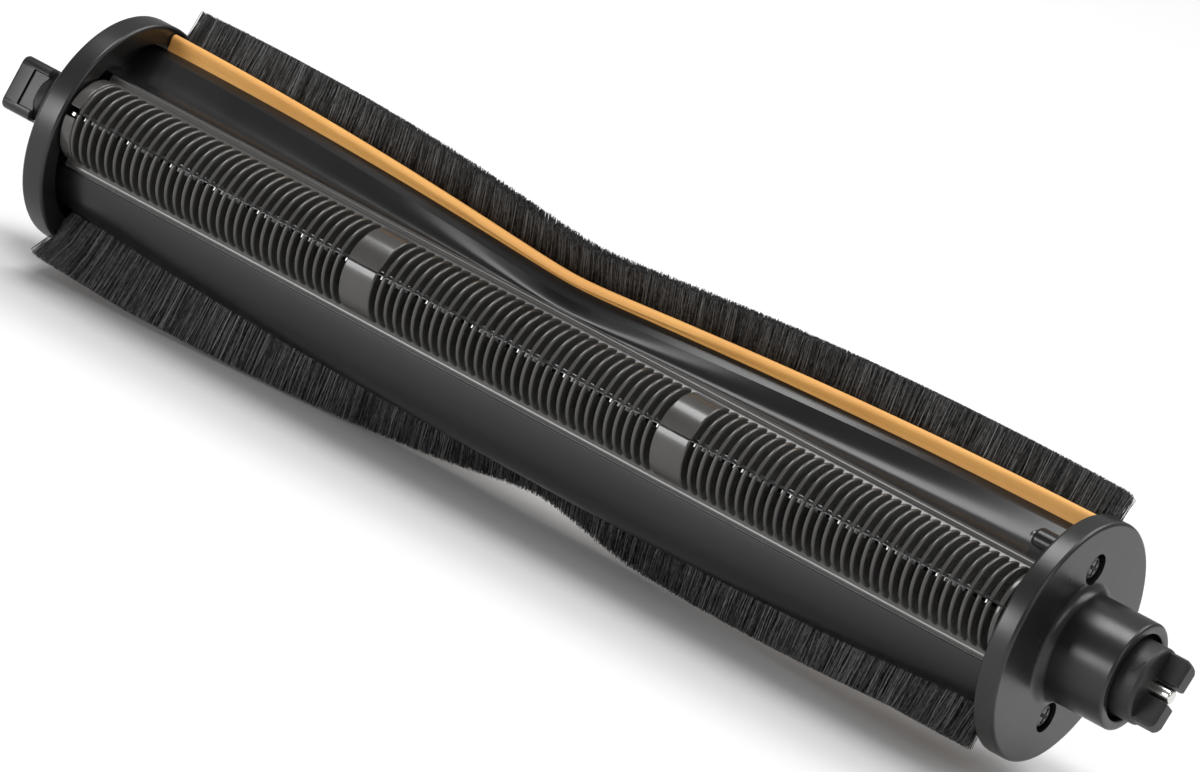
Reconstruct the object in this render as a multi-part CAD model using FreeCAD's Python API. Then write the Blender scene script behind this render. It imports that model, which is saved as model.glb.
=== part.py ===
"""Robot vacuum roller brush: slotted combs with a hair cutter, chevron bristle strips and rubber wipers.

The brush lies along X with its drive stub at -X and its bearing hub at +X, origin at the middle of its length
on the roller axis. Pieces are drawn with the front comb facing -Y, and turned at the end so that the brush
lies on its lower bristles. Angles are counted from the front comb's crest up over the top of the roller.
"""
import FreeCAD
import Part
import math
import os

V = FreeCAD.Vector
AXIS = V(1, 0, 0)

# Roller, millimetres and degrees
ROLLER_SPAN = 167.4
FLANGE_RADIUS = 18.0
DRIVE_FLANGE_THICK = 4.0
BEARING_FLANGE_THICK = 3.4
RIM_CHAMFER = 0.4

# Drive stub
STUB_BOSS_LENGTH = 9.9
STUB_BOSS_RADIUS = 8.0
STUB_NECK_RADIUS = 4.6
STUB_BLOCK_LENGTH = 5.4
STUB_BLOCK_WIDTH = 8.6
STUB_CORNER = 1.2
STUB_RECESS = 0.4
POCKET_WALL_GAP = 0.5
POCKET_DEPTH = 2.5
SPIGOT_RADIUS = 5.0
SPIGOT_LENGTH = 9.0
COLLAR_RADIUS = 7.0
COLLAR_THICK = 2.0

# Bearing hub and stationary key
HUB_RADIUS = 8.0
HUB_LENGTH = 10.6
HUB_FILLET = 1.5
BUSH_RADIUS = 6.5
BUSH_LENGTH = 5.0
BUSH_SHOULDER = 1.5
HUB_BACK_RADIUS = 7.0
HUB_BACK_LENGTH = 2.5
SHANK_RADIUS = 3.0
SHANK_TAIL = 1.0
KEY_HEAD_RADIUS = 5.7
KEY_HEAD_PROUD = 3.2
DOG_LENGTH = 3.4
DOG_REACH = 5.3
DOG_GAP = 2.5
DOG_THICK = 3.0
DOG_CHAMFER = 0.7
KEY_TURN = 10.0
PIN_RADIUS = 1.1
PIN_SHORT = 0.5
CLIP_RADIUS = 4.4
CLIP_THICK = 0.6
CLIP_BITE = 0.5

# Cap screws
SCREW_CIRCLE = 11.3
SCREW_ANGLE = 66.8
SCREW_RADIUS = 1.1
SCREW_LENGTH = 8.0
SCREW_HEAD_RADIUS = 2.0
SCREW_HEAD_HEIGHT = 1.1
SCREW_SEAT_DEPTH = 1.4
SCREW_BOSS_RADIUS = 1.8
SCREW_BOSS_LENGTH = 6.4

# Comb
COMB_RADIUS = 6.4
COMB_CENTRE = 11.2
COMB_FACETS = 3
BRIM_WIDTH = 1.1
BRIM_THICK = 1.0
NECK_DEPTH = 3.6
SLOT_PITCH = 1.64
SLOT_WIDTH = 1.0
SLOT_DEPTH = 2.3
BANKS = 3
BAND_WIDTH = 5.0
COMB_END_PLAIN = 2.3
SEAM_GAP = 0.12
END_NOTCH_ROOM = 0.2
END_NOTCH_HALF = 0.8

# Cutter
BLADE_THICK = 0.48
BLADE_SINK = 1.6
TOOTH_HEIGHT = 1.4
TOOTH_PITCH = 1.37
BLADE_TAB = 0.5
BLADE_TAB_RISE = 1.0
BLADE_END_MARGIN = 1.0
STROKE = 0.5
GUIDE_PINS = 3
GUIDE_PIN_RADIUS = 1.2
GUIDE_PIN_SEAT = 4.0
CAM_RADIUS = 4.8
CAM_LENGTH = 8.0
CAM_GROOVE_RADIUS = 3.7
FINGER_WIDTH = 1.6

# Chevron strips
WIPER_ANGLE_END = 90.0
WIPER_ANGLE_MID = 53.5
VERTEX_ROUND = 0.06
SECTION_SHARES = (0.3, 0.55, 0.8)
GROOVE_RADIUS = 11.2
WIPER_HEIGHT = 5.9
WIPER_FOOT_HEIGHT = 2.5
WIPER_EDGE_ROUND = 0.8
WIPER_HALF_ROOT = 4.5
WIPER_HALF_TIP = 2.6
WIPER_LEAN_END = 3.0
WIPER_LEAN_MID = 5.0
RAIL_HEIGHT_END = 3.3
RAIL_HEIGHT_MID = 4.0
RAIL_SPAN = 7.0
RAIL_FALL = 0.8
SPINE_THICK = 2.1
SPINE_HALF = 5.5
BRISTLE_LENGTH = 8.7
BRISTLE_OFFSET = 10.5
BRISTLE_HALF_ROOT = 4.9
BRISTLE_HALF_TIP = 4.0
BRISTLE_LEAN = 4.0
BRISTLE_DIP = 1.9
REST_TIP_ANGLE = 73.25
STRIP_GAP = 0.5

# Core and fairing
FAIRING_RADIUS = 15.7
FAIRING_TAPER = 2.3
FAIRING_THICK = 2.0
FAIRING_FALL = 2.7
FAIRING_FACETS = 5
TROUGH_DEPTH_END = 2.2
TROUGH_DEPTH_MID = 0.3
TROUGH_FACETS = 3
CORE_CAVITY_HALF = 5.0
CORE_CAVITY_TOP = 8.0
CORE_RIB = 2.0
CORE_BAYS = 8

# Clearances
CLEAR = 0.1
RUN = 0.05
END_CLEAR = 0.2
AXIAL_PLAY = 0.4
CAM_CLEAR = 0.8
CAM_SLACK = 0.4
BLADE_CLEAR = 1.0
CLIP_CLEAR = 0.6
SCREW_HEAD_CLEAR = 0.3
OVERRUN = 1.0

# Places along the axis
KEY_END = KEY_HEAD_PROUD + DOG_LENGTH
OVERALL = (STUB_BOSS_LENGTH + STUB_BLOCK_LENGTH + DRIVE_FLANGE_THICK + ROLLER_SPAN
           + BEARING_FLANGE_THICK + HUB_LENGTH + KEY_END)
X_STUB_END = -OVERALL / 2
X_STUB_NECK = X_STUB_END + STUB_BLOCK_LENGTH
X_DRIVE_OUT = X_STUB_NECK + STUB_BOSS_LENGTH
X_DRIVE_IN = X_DRIVE_OUT + DRIVE_FLANGE_THICK
X_BEARING_IN = X_DRIVE_IN + ROLLER_SPAN
X_BEARING_OUT = X_BEARING_IN + BEARING_FLANGE_THICK
X_HUB_END = X_BEARING_OUT + HUB_LENGTH
X_KEY_END = X_HUB_END + KEY_HEAD_PROUD
X_DOG_END = X_KEY_END + DOG_LENGTH
X_MID = (X_DRIVE_IN + X_BEARING_IN) / 2
X_BUSH_IN = X_BEARING_OUT + BUSH_SHOULDER
X_BUSH_OUT = X_BUSH_IN + BUSH_LENGTH
X_HEAD_BACK = X_BUSH_OUT + AXIAL_PLAY
X_CLIP_OUT = X_BUSH_IN - CLEAR
X_CAM_OUT = X_BEARING_IN - HUB_BACK_LENGTH - AXIAL_PLAY
X_CAM_IN = X_CAM_OUT - CAM_LENGTH
X_SHANK_END = X_CAM_IN - SHANK_TAIL
X_CORE_LEFT = X_DRIVE_IN - POCKET_DEPTH + CLEAR
X_CORE_RIGHT = X_BEARING_IN - CLEAR

# Derived section sizes
CREST = COMB_CENTRE + COMB_RADIUS
BRIM_TOP = COMB_RADIUS + BRIM_WIDTH
BRIM_BACK = COMB_CENTRE - BRIM_THICK
NECK_TOP = COMB_RADIUS - CLEAR
NECK_BACK = COMB_CENTRE - NECK_DEPTH
BLADE_REACH = CREST - BLADE_SINK
BLADE_POCKET = BLADE_THICK + RUN / 2 + RUN
COMB_LENGTH = ROLLER_SPAN - 2 * END_CLEAR
GROOVE_FRONT = -WIPER_HALF_ROOT - STRIP_GAP
GROOVE_BACK = BRISTLE_OFFSET + SPINE_HALF + STRIP_GAP
FOOT_RADIUS = GROOVE_RADIUS + CLEAR
WIPER_RADIUS = GROOVE_RADIUS + WIPER_HEIGHT
SPINE_TOP_RADIUS = FOOT_RADIUS + SPINE_THICK
BRISTLE_ROOT_RADIUS = SPINE_TOP_RADIUS + CLEAR
BRISTLE_RADIUS = BRISTLE_ROOT_RADIUS + BRISTLE_LENGTH
POCKET_RADIUS = max(GROOVE_RADIUS + RAIL_HEIGHT_END, FAIRING_RADIUS - FAIRING_TAPER) + POCKET_WALL_GAP
CAM_GROOVE_WIDTH = FINGER_WIDTH + 4 * STROKE + 2 * CAM_SLACK
CAM_BORE = CAM_RADIUS + CAM_CLEAR
CAM_WELL_END = X_SHANK_END - CAM_CLEAR
BLADE_LEFT = X_DRIVE_IN + BLADE_END_MARGIN
BLADE_RIGHT = X_BEARING_IN - BLADE_END_MARGIN
BACKING_REACH = CREST - SLOT_DEPTH - CLEAR
SPIGOT_END = X_DRIVE_IN - POCKET_DEPTH + SPIGOT_LENGTH
REST_TILT = 90 - REST_TIP_ANGLE


def polar(radius, angle):
    """Section point at a radius and an angle from the front crest, as (y, z)."""
    turn = math.radians(angle)
    return (-radius * math.cos(turn), radius * math.sin(turn))


def front(reach, height):
    """Section point so far towards the front comb and so far up, as (y, z)."""
    return (-reach, height)


def angle_of(point):
    """Angle from the front crest of a section point (y, z)."""
    return math.degrees(math.atan2(point[1], -point[0]))


def wire_at(x, outline):
    """Closed wire at x through section points (y, z)."""
    points = [V(x, *point) for point in outline]
    return Part.makePolygon(points + points[:1])


def prism(outline, x_from, x_to):
    """Straight solid of one section between two places on the axis."""
    return Part.Face(wire_at(x_from, outline)).extrude(V(x_to - x_from, 0, 0))


def rod(radius, x_from, x_to, at=(0, 0)):
    """Cylinder along the axis direction."""
    return Part.makeCylinder(radius, x_to - x_from, V(x_from, *at), AXIS)


def turned(profile):
    """Solid of revolution about the roller axis from (x, radius) points."""
    points = [V(x, 0, radius) for x, radius in profile]
    return Part.Face(Part.makePolygon(points + points[:1])).revolve(V(0, 0, 0), AXIS, 360)


def rim(x_from, x_to, radius):
    """Profile points of a flange's rim with both edges broken."""
    return [(x_from, radius - RIM_CHAMFER), (x_from + RIM_CHAMFER, radius),
            (x_to - RIM_CHAMFER, radius), (x_to, radius - RIM_CHAMFER)]


def half_turn(shape):
    """Copy turned half round the roller axis."""
    copy = shape.copy()
    copy.rotate(V(0, 0, 0), AXIS, 180)
    return copy


def mirrored(shape):
    """Copy mirrored through the cutter plane."""
    return shape.mirror(V(0, 0, 0), V(0, 0, 1))


def station(x):
    """Place along the roller from -1 at the drive flange to 1 at the bearing flange."""
    return (x - X_MID) / (ROLLER_SPAN / 2)


def sweep_share(x):
    """Share of the chevron's swing at x: 0 at the vertex, 1 at the flanges."""
    rounding = VERTEX_ROUND
    span = math.hypot(1, rounding) - rounding
    return (math.hypot(station(x), rounding) - rounding) / span


def swept(middle, end, x):
    """Value at x of something that changes with the chevron's swing."""
    return middle + (end - middle) * sweep_share(x)


def wiper_angle(x):
    """Angle of the wiper's root at x."""
    return swept(WIPER_ANGLE_MID, WIPER_ANGLE_END, x)


def chevron_loft(outline_at, x_from, x_to):
    """Solid through sections that follow the chevron, with one close on each side of its vertex."""
    shares = [VERTEX_ROUND, *SECTION_SHARES]
    inner = [-share for share in reversed(shares)] + shares
    places = [x_from] + [X_MID + share * ROLLER_SPAN / 2 for share in inner] + [x_to]
    return Part.makeLoft([wire_at(x, outline_at(x)) for x in places], True, True)


def fairing_face(x, depth, lift):
    """Section points of the fairing at a depth below its outer face, from its edge to the comb's brim."""
    hem = front(depth - BRIM_BACK, BRIM_TOP + lift)
    edge_angle = wiper_angle(x) + GROOVE_BACK + STRIP_GAP
    edge_radius = FAIRING_RADIUS - FAIRING_TAPER * station(x) ** 2 - depth
    points = []
    for number in range(FAIRING_FACETS):
        share = number / FAIRING_FACETS
        radius = edge_radius - (edge_radius - math.hypot(*hem)) * share ** FAIRING_FALL
        points.append(polar(radius, edge_angle + (angle_of(hem) - edge_angle) * share))
    return points + [hem]


def rail_radius(x):
    """Radius of the rail that stands in front of the wiper's foot."""
    return GROOVE_RADIUS + swept(RAIL_HEIGHT_MID, RAIL_HEIGHT_END, x)


def trough_face(x, lip):
    """Section points of the hollow between the comb and the wiper, and of the rail beside the wiper."""
    rail_angle = wiper_angle(x) + GROOVE_FRONT
    shore_angle = rail_angle - RAIL_SPAN
    shore_radius = rail_radius(x) - RAIL_FALL
    depth = swept(TROUGH_DEPTH_MID, TROUGH_DEPTH_END, x)
    lip_radius = math.hypot(*lip)
    points = []
    for number in range(1, TROUGH_FACETS):
        share = number / TROUGH_FACETS
        radius = lip_radius + (shore_radius - lip_radius) * share - depth * 4 * share * (1 - share)
        points.append(polar(radius, angle_of(lip) + (shore_angle - angle_of(lip)) * share))
    return points + [polar(shore_radius, shore_angle), polar(rail_radius(x), rail_angle)]


def core_outline(x):
    """Upper core half: comb channels front and back, trough, rail, strip groove and fairing seat."""
    rail_angle = wiper_angle(x) + GROOVE_FRONT
    step_angle = wiper_angle(x) + GROOVE_BACK
    channel_top = NECK_TOP + CLEAR
    channel_back = NECK_BACK - CLEAR
    lip = front(BRIM_BACK - CLEAR, BRIM_TOP + CLEAR)
    seat = fairing_face(x, FAIRING_THICK + CLEAR, CLEAR)
    return [front(channel_back, BLADE_POCKET),
            front(channel_back, channel_top),
            front(BRIM_BACK - CLEAR, channel_top),
            lip,
            *trough_face(x, lip),
            polar(GROOVE_RADIUS, rail_angle),
            polar(GROOVE_RADIUS, step_angle),
            polar(math.hypot(*seat[0]), step_angle),
            *seat,
            front(CLEAR - BRIM_BACK, BRIM_TOP + CLEAR),
            front(CLEAR - BRIM_BACK, channel_top),
            front(-channel_back, channel_top),
            front(-channel_back, BLADE_POCKET)]


def fairing_outline(x):
    """Smooth shell panel behind the bristles, from the strip's root down to the comb's brim."""
    inner = fairing_face(x, FAIRING_THICK, 2 * CLEAR)
    return fairing_face(x, 0, 2 * CLEAR) + inner[::-1]


def wiper_outline(x):
    """Rubber wiper: a foot in the groove and a lip that leans forward to a narrow edge."""
    angle = wiper_angle(x)
    tip_angle = angle - swept(WIPER_LEAN_MID, WIPER_LEAN_END, x)
    shoulder = WIPER_RADIUS - WIPER_EDGE_ROUND
    foot_back = angle + WIPER_HALF_ROOT - STRIP_GAP
    return [polar(FOOT_RADIUS, angle - WIPER_HALF_ROOT),
            polar(rail_radius(x) + CLEAR, angle - WIPER_HALF_ROOT),
            polar(shoulder, tip_angle - WIPER_HALF_TIP),
            polar(WIPER_RADIUS, tip_angle),
            polar(shoulder, tip_angle + WIPER_HALF_TIP),
            polar(GROOVE_RADIUS + WIPER_FOOT_HEIGHT, foot_back),
            polar(FOOT_RADIUS, foot_back)]


def spine_outline(x):
    """Flat strip that the bristles are set in, beside the wiper's foot."""
    angle = wiper_angle(x) + BRISTLE_OFFSET
    return [polar(FOOT_RADIUS, angle - SPINE_HALF),
            polar(SPINE_TOP_RADIUS, angle - SPINE_HALF),
            polar(SPINE_TOP_RADIUS, angle + SPINE_HALF),
            polar(FOOT_RADIUS, angle + SPINE_HALF)]


def bristle_outline(x):
    """Mass of bristles from the spine to the tips, shortest and leaning forward at the chevron's vertex."""
    root = wiper_angle(x) + BRISTLE_OFFSET
    tip = root - swept(BRISTLE_LEAN, 0, x)
    radius = BRISTLE_RADIUS - BRISTLE_DIP * (1 - sweep_share(x)) ** 2
    return [polar(BRISTLE_ROOT_RADIUS, root - BRISTLE_HALF_ROOT),
            polar(radius, tip - BRISTLE_HALF_TIP),
            polar(radius, tip),
            polar(radius, tip + BRISTLE_HALF_TIP),
            polar(BRISTLE_ROOT_RADIUS, root + BRISTLE_HALF_ROOT)]


def guide_places():
    """Places of the cutter's guide pins, on the ribs of the core."""
    bay = bay_length()
    step = CORE_BAYS / (GUIDE_PINS + 1)
    return [bays_start() + bay * round(step * (number + 1)) - CORE_RIB / 2 for number in range(GUIDE_PINS)]


def bays_start():
    """Where the core's hollow bays begin."""
    return SPIGOT_END + CORE_RIB + CLEAR


def bay_length():
    """Length of one bay with its rib."""
    return (CAM_WELL_END - CORE_RIB - bays_start()) / CORE_BAYS


def make_core():
    """Upper core half: moulded shell with ribbed bays, open on the cutter plane, and a screw boss."""
    core = chevron_loft(core_outline, X_CORE_LEFT, X_CORE_RIGHT)
    boss_at = polar(SCREW_CIRCLE, SCREW_ANGLE)
    core = core.fuse(rod(SCREW_BOSS_RADIUS, X_CORE_RIGHT - SCREW_BOSS_LENGTH, X_CORE_RIGHT, boss_at))
    pin_boss = GUIDE_PIN_RADIUS + CORE_RIB
    cuts = [rod(SPIGOT_RADIUS + CLEAR, X_CORE_LEFT - OVERRUN, SPIGOT_END + CLEAR),
            rod(COLLAR_RADIUS + CLEAR, SPIGOT_END - COLLAR_THICK - CLEAR, SPIGOT_END + CLEAR),
            rod(HUB_BACK_RADIUS + CLEAR, X_BEARING_IN - HUB_BACK_LENGTH - CLEAR, X_CORE_RIGHT + OVERRUN),
            rod(CAM_BORE, CAM_WELL_END, X_CORE_RIGHT + OVERRUN),
            rod(SCREW_RADIUS + RUN, X_CORE_RIGHT - SCREW_LENGTH - CLEAR, X_CORE_RIGHT + OVERRUN, boss_at)]
    bay_outline = [front(CORE_CAVITY_HALF, 0), front(CORE_CAVITY_HALF, CORE_CAVITY_TOP),
                   front(-CORE_CAVITY_HALF, CORE_CAVITY_TOP), front(-CORE_CAVITY_HALF, 0)]
    for number in range(CORE_BAYS):
        start = bays_start() + number * bay_length()
        bay = prism(bay_outline, start, start + bay_length() - CORE_RIB)
        for place in guide_places():
            bay = bay.cut(Part.makeCylinder(pin_boss, CORE_CAVITY_TOP, V(place, 0, 0), V(0, 0, 1)))
        cuts.append(bay)
    for place in guide_places():
        cuts.append(Part.makeCylinder(GUIDE_PIN_RADIUS + RUN, GUIDE_PIN_SEAT + BLADE_POCKET + CLEAR,
                                      V(place, 0, 0), V(0, 0, 1)))
    return core.cut(cuts).removeSplitter()


def bank_length():
    """Length of one bank of comb slots."""
    return (COMB_LENGTH - 2 * COMB_END_PLAIN - (BANKS - 1) * BAND_WIDTH) / BANKS


def bank_starts():
    """Where each bank of comb slots begins."""
    first = X_MID - COMB_LENGTH / 2 + COMB_END_PLAIN
    return [first + number * (bank_length() + BAND_WIDTH) for number in range(BANKS)]


def slot_places():
    """Start of each comb slot, in equal banks parted by plain bands."""
    rib = SLOT_PITCH - SLOT_WIDTH
    count = int((bank_length() + rib) / SLOT_PITCH)
    inset = (bank_length() - count * SLOT_PITCH + rib) / 2
    return [start + inset + slot * SLOT_PITCH for start in bank_starts() for slot in range(count)]


def make_comb_jaw():
    """Front upper comb jaw: quarter-round ridge with a brim, a neck in the core and banks of slots.

    A thin lip closes over the cutter along the crest, and a notch at the drive end shows the blade's end.
    """
    lip = SEAM_GAP / 2
    start_angle = math.degrees(math.asin(lip / COMB_RADIUS))
    step = (90 - start_angle) / COMB_FACETS
    ridge = []
    for number in range(COMB_FACETS + 1):
        turn = math.radians(start_angle + number * step)
        ridge.append(front(COMB_CENTRE + COMB_RADIUS * math.cos(turn), COMB_RADIUS * math.sin(turn)))
    outline = ridge + [front(COMB_CENTRE, BRIM_TOP), front(BRIM_BACK, BRIM_TOP), front(BRIM_BACK, NECK_TOP),
                       front(NECK_BACK, NECK_TOP), front(NECK_BACK, BLADE_POCKET),
                       front(BLADE_REACH + CLEAR, BLADE_POCKET)]
    start = X_MID - COMB_LENGTH / 2
    jaw = prism(outline, start, start + COMB_LENGTH)
    floor = CREST - SLOT_DEPTH
    beyond = CREST + SLOT_DEPTH
    notch_outline = [front(floor, 0), front(beyond, 0),
                     front(beyond, END_NOTCH_HALF), front(floor, END_NOTCH_HALF)]
    kerf_outline = [front(floor, 0), front(beyond, 0),
                    front(beyond, COMB_RADIUS), front(COMB_CENTRE, COMB_RADIUS)]
    cuts = [prism(kerf_outline, place, place + SLOT_WIDTH) for place in slot_places()]
    cuts.append(prism(notch_outline, start - CLEAR, BLADE_LEFT + BLADE_TAB + STROKE + END_NOTCH_ROOM))
    return jaw.cut(cuts)


def toothed_edge():
    """Plan of the cutter's edge as (x, y): an end tab, and a run of teeth behind each bank of slots."""
    root = BLADE_REACH - TOOTH_HEIGHT
    tab_reach = BLADE_REACH + BLADE_TAB_RISE
    count = int(bank_length() / TOOTH_PITCH)
    edge = [(BLADE_LEFT, tab_reach), (BLADE_LEFT + BLADE_TAB, tab_reach), (BLADE_LEFT + BLADE_TAB, root)]
    for start in bank_starts():
        first = start + (bank_length() - count * TOOTH_PITCH) / 2
        edge.append((first, root))
        for number in range(count):
            edge.append((first + (number + 0.5) * TOOTH_PITCH, BLADE_REACH))
            edge.append((first + (number + 1) * TOOTH_PITCH, root))
    return edge + [(BLADE_RIGHT, root)]


def blade_outline(edge):
    """Plan of a cutter plate as (x, y) points: an edge on both sides, prongs round the spigot and the cam."""
    left_gap = COLLAR_RADIUS + BLADE_CLEAR
    left_end = SPIGOT_END + BLADE_CLEAR
    right_gap = HUB_BACK_RADIUS + BLADE_CLEAR
    right_end = CAM_WELL_END - STROKE
    right_notch = [(BLADE_RIGHT, right_gap), (right_end, right_gap),
                   (right_end, -right_gap), (BLADE_RIGHT, -right_gap)]
    left_notch = [(BLADE_LEFT, -left_gap), (left_end, -left_gap),
                  (left_end, left_gap), (BLADE_LEFT, left_gap)]
    return edge + right_notch + [(x, -y) for x, y in reversed(edge)] + left_notch


def make_plate(edge, z_from, travel):
    """Flat cutter plate from a height, with holes round the guide pins long enough for its travel."""
    points = [V(x, y, z_from) for x, y in blade_outline(edge)]
    plate = Part.Face(Part.makePolygon(points + points[:1])).extrude(V(0, 0, BLADE_THICK))
    hole = GUIDE_PIN_RADIUS + RUN
    for place in guide_places():
        ends = [Part.makeCylinder(hole, BLADE_THICK, V(place + shift, 0, z_from), V(0, 0, 1))
                for shift in (-travel, travel)]
        cut = ends[0]
        if travel:
            middle = Part.makeBox(2 * travel, 2 * hole, BLADE_THICK, V(place - travel, -hole, z_from))
            cut = middle.fuse(ends).removeSplitter()
        plate = plate.cut(cut)
    return plate


def make_backing_plate():
    """Fixed plate that the blade slides on, straight-edged below the slots' floor."""
    return make_plate([(BLADE_LEFT, BACKING_REACH), (BLADE_RIGHT, BACKING_REACH)], RUN / 2, 0)


def make_moving_blade():
    """Toothed blade with the finger that rides in the cam's groove."""
    z_from = -RUN / 2 - BLADE_THICK
    blade = make_plate(toothed_edge(), z_from, STROKE + CLEAR)
    middle = (X_CAM_IN + X_CAM_OUT) / 2
    reach = HUB_BACK_RADIUS + BLADE_CLEAR + CLEAR
    inner = CAM_GROOVE_RADIUS + CAM_SLACK
    corner = V(middle - FINGER_WIDTH / 2, -reach, z_from)
    finger = Part.makeBox(FINGER_WIDTH, reach - inner, BLADE_THICK, corner)
    return blade.fuse(finger).removeSplitter()


def make_cam():
    """Drum on the key's shank with a skewed groove that throws the blade to and fro once a turn."""
    drum = rod(CAM_RADIUS, X_CAM_IN, X_CAM_OUT)
    middle = (X_CAM_IN + X_CAM_OUT) / 2
    half = CAM_GROOVE_WIDTH / 2
    groove = rod(2 * CAM_RADIUS, middle - half, middle + half)
    skew = math.degrees(math.atan2(STROKE, (CAM_RADIUS + CAM_GROOVE_RADIUS) / 2))
    groove.rotate(V(middle, 0, 0), V(0, 0, 1), skew)
    groove = groove.cut(rod(CAM_GROOVE_RADIUS, X_CAM_IN - CAM_RADIUS, X_CAM_OUT + CAM_RADIUS))
    return drum.cut([groove, rod(SHANK_RADIUS + RUN / 2, X_CAM_IN - OVERRUN, X_CAM_OUT + OVERRUN)])


def make_key():
    """Stationary end key: head in the hub's mouth, two dogs, and a shank through the bush to the cam."""
    clip_back = X_CLIP_OUT - CLIP_THICK - CLEAR
    neck = SHANK_RADIUS - CLIP_BITE
    key = turned([(X_SHANK_END, 0), (X_SHANK_END, SHANK_RADIUS), (clip_back, SHANK_RADIUS), (clip_back, neck),
                  (X_CLIP_OUT, neck), (X_CLIP_OUT, SHANK_RADIUS), (X_HEAD_BACK, SHANK_RADIUS),
                  (X_HEAD_BACK, KEY_HEAD_RADIUS), (X_KEY_END - DOG_CHAMFER, KEY_HEAD_RADIUS),
                  (X_KEY_END, KEY_HEAD_RADIUS - DOG_CHAMFER), (X_KEY_END, 0)])
    inner = DOG_GAP / 2
    dog_outline = [(X_KEY_END - DOG_CHAMFER, inner), (X_DOG_END, inner), (X_DOG_END, DOG_REACH - DOG_CHAMFER),
                   (X_DOG_END - DOG_CHAMFER, DOG_REACH), (X_KEY_END - DOG_CHAMFER, DOG_REACH)]
    points = [V(x, -DOG_THICK / 2, z) for x, z in dog_outline]
    dog = Part.Face(Part.makePolygon(points + points[:1])).extrude(V(0, DOG_THICK, 0))
    key = key.fuse([dog, half_turn(dog)])
    key = key.cut(rod(PIN_RADIUS + RUN / 2, X_SHANK_END - OVERRUN, X_DOG_END + OVERRUN)).removeSplitter()
    key.rotate(V(0, 0, 0), AXIS, -KEY_TURN)
    return key


def make_clip():
    """Open spring clip in the shank's groove, behind the bush."""
    back = X_CLIP_OUT - CLIP_THICK
    inner = SHANK_RADIUS - CLIP_BITE + RUN / 2
    ring = rod(CLIP_RADIUS, back, X_CLIP_OUT - CLEAR).cut(rod(inner, back, X_CLIP_OUT))
    mouth = Part.makeBox(CLIP_THICK, 2 * inner - 2 * CLEAR, CLIP_RADIUS + OVERRUN,
                         V(back, -inner + CLEAR, -CLIP_RADIUS - OVERRUN))
    return ring.cut(mouth)


def make_drive_cap():
    """Drive end: flange with a pocket for the core, a collared spigot inside and a square stub outside."""
    pocket_floor = X_DRIVE_IN - POCKET_DEPTH
    collar = SPIGOT_END - COLLAR_THICK
    cap = turned([(X_STUB_NECK - STUB_BLOCK_LENGTH / 2, 0), (X_STUB_NECK, STUB_NECK_RADIUS),
                  (X_STUB_NECK + STUB_BOSS_LENGTH / 2, STUB_BOSS_RADIUS), (X_DRIVE_OUT, STUB_BOSS_RADIUS),
                  *rim(X_DRIVE_OUT, X_DRIVE_IN, FLANGE_RADIUS), (X_DRIVE_IN, POCKET_RADIUS),
                  (pocket_floor, POCKET_RADIUS), (pocket_floor, SPIGOT_RADIUS), (collar, SPIGOT_RADIUS),
                  (collar, COLLAR_RADIUS), (SPIGOT_END, COLLAR_RADIUS), (SPIGOT_END, 0)])
    half = STUB_BLOCK_WIDTH / 2
    length = STUB_BLOCK_LENGTH + RIM_CHAMFER
    block = Part.makeBox(length, STUB_BLOCK_WIDTH, STUB_BLOCK_WIDTH, V(X_STUB_END, -half, -half))
    corners = [edge for edge in block.Edges if edge.BoundBox.XLength > length / 2]
    block = block.makeFillet(STUB_CORNER, corners)
    end_edges = [edge for edge in block.Edges if edge.BoundBox.XMax < X_STUB_END + CLEAR]
    block = block.makeChamfer(RIM_CHAMFER, end_edges)
    inset = half - STUB_CORNER
    recess = Part.makeBox(STUB_BLOCK_LENGTH / 2, 2 * inset, STUB_RECESS,
                          V(X_STUB_END + STUB_BLOCK_LENGTH / 2, -inset, half - STUB_RECESS))
    for quarter in range(4):
        side = recess.copy()
        side.rotate(V(0, 0, 0), AXIS, 90 * quarter)
        block = block.cut(side)
    return cap.fuse(block).removeSplitter()


def make_bearing_cap():
    """Bearing end: flange with two counterbored screw seats and a hollow hub for the bush."""
    back = X_BEARING_IN - HUB_BACK_LENGTH
    bore = CLIP_RADIUS + CLIP_CLEAR
    bend = HUB_FILLET * (1 - math.sqrt(0.5))
    cap = turned([(back, bore), (back, HUB_BACK_RADIUS), (X_BEARING_IN, HUB_BACK_RADIUS),
                  *rim(X_BEARING_IN, X_BEARING_OUT, FLANGE_RADIUS),
                  (X_BEARING_OUT, HUB_RADIUS + HUB_FILLET), (X_BEARING_OUT + bend, HUB_RADIUS + bend),
                  (X_BEARING_OUT + HUB_FILLET, HUB_RADIUS), (X_HUB_END - RIM_CHAMFER, HUB_RADIUS),
                  (X_HUB_END, HUB_RADIUS - RIM_CHAMFER), (X_HUB_END, BUSH_RADIUS), (X_BUSH_IN, BUSH_RADIUS),
                  (X_BUSH_IN, bore)])
    seat_radius = SCREW_HEAD_RADIUS + SCREW_HEAD_CLEAR
    for turn in (0, 180):
        at = polar(SCREW_CIRCLE, SCREW_ANGLE + turn)
        cap = cap.cut([rod(seat_radius, X_BEARING_OUT - SCREW_SEAT_DEPTH, X_BEARING_OUT + CLEAR, at),
                       rod(SCREW_RADIUS + CLEAR, X_BEARING_IN - CLEAR, X_BEARING_OUT, at)])
    return cap


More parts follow.
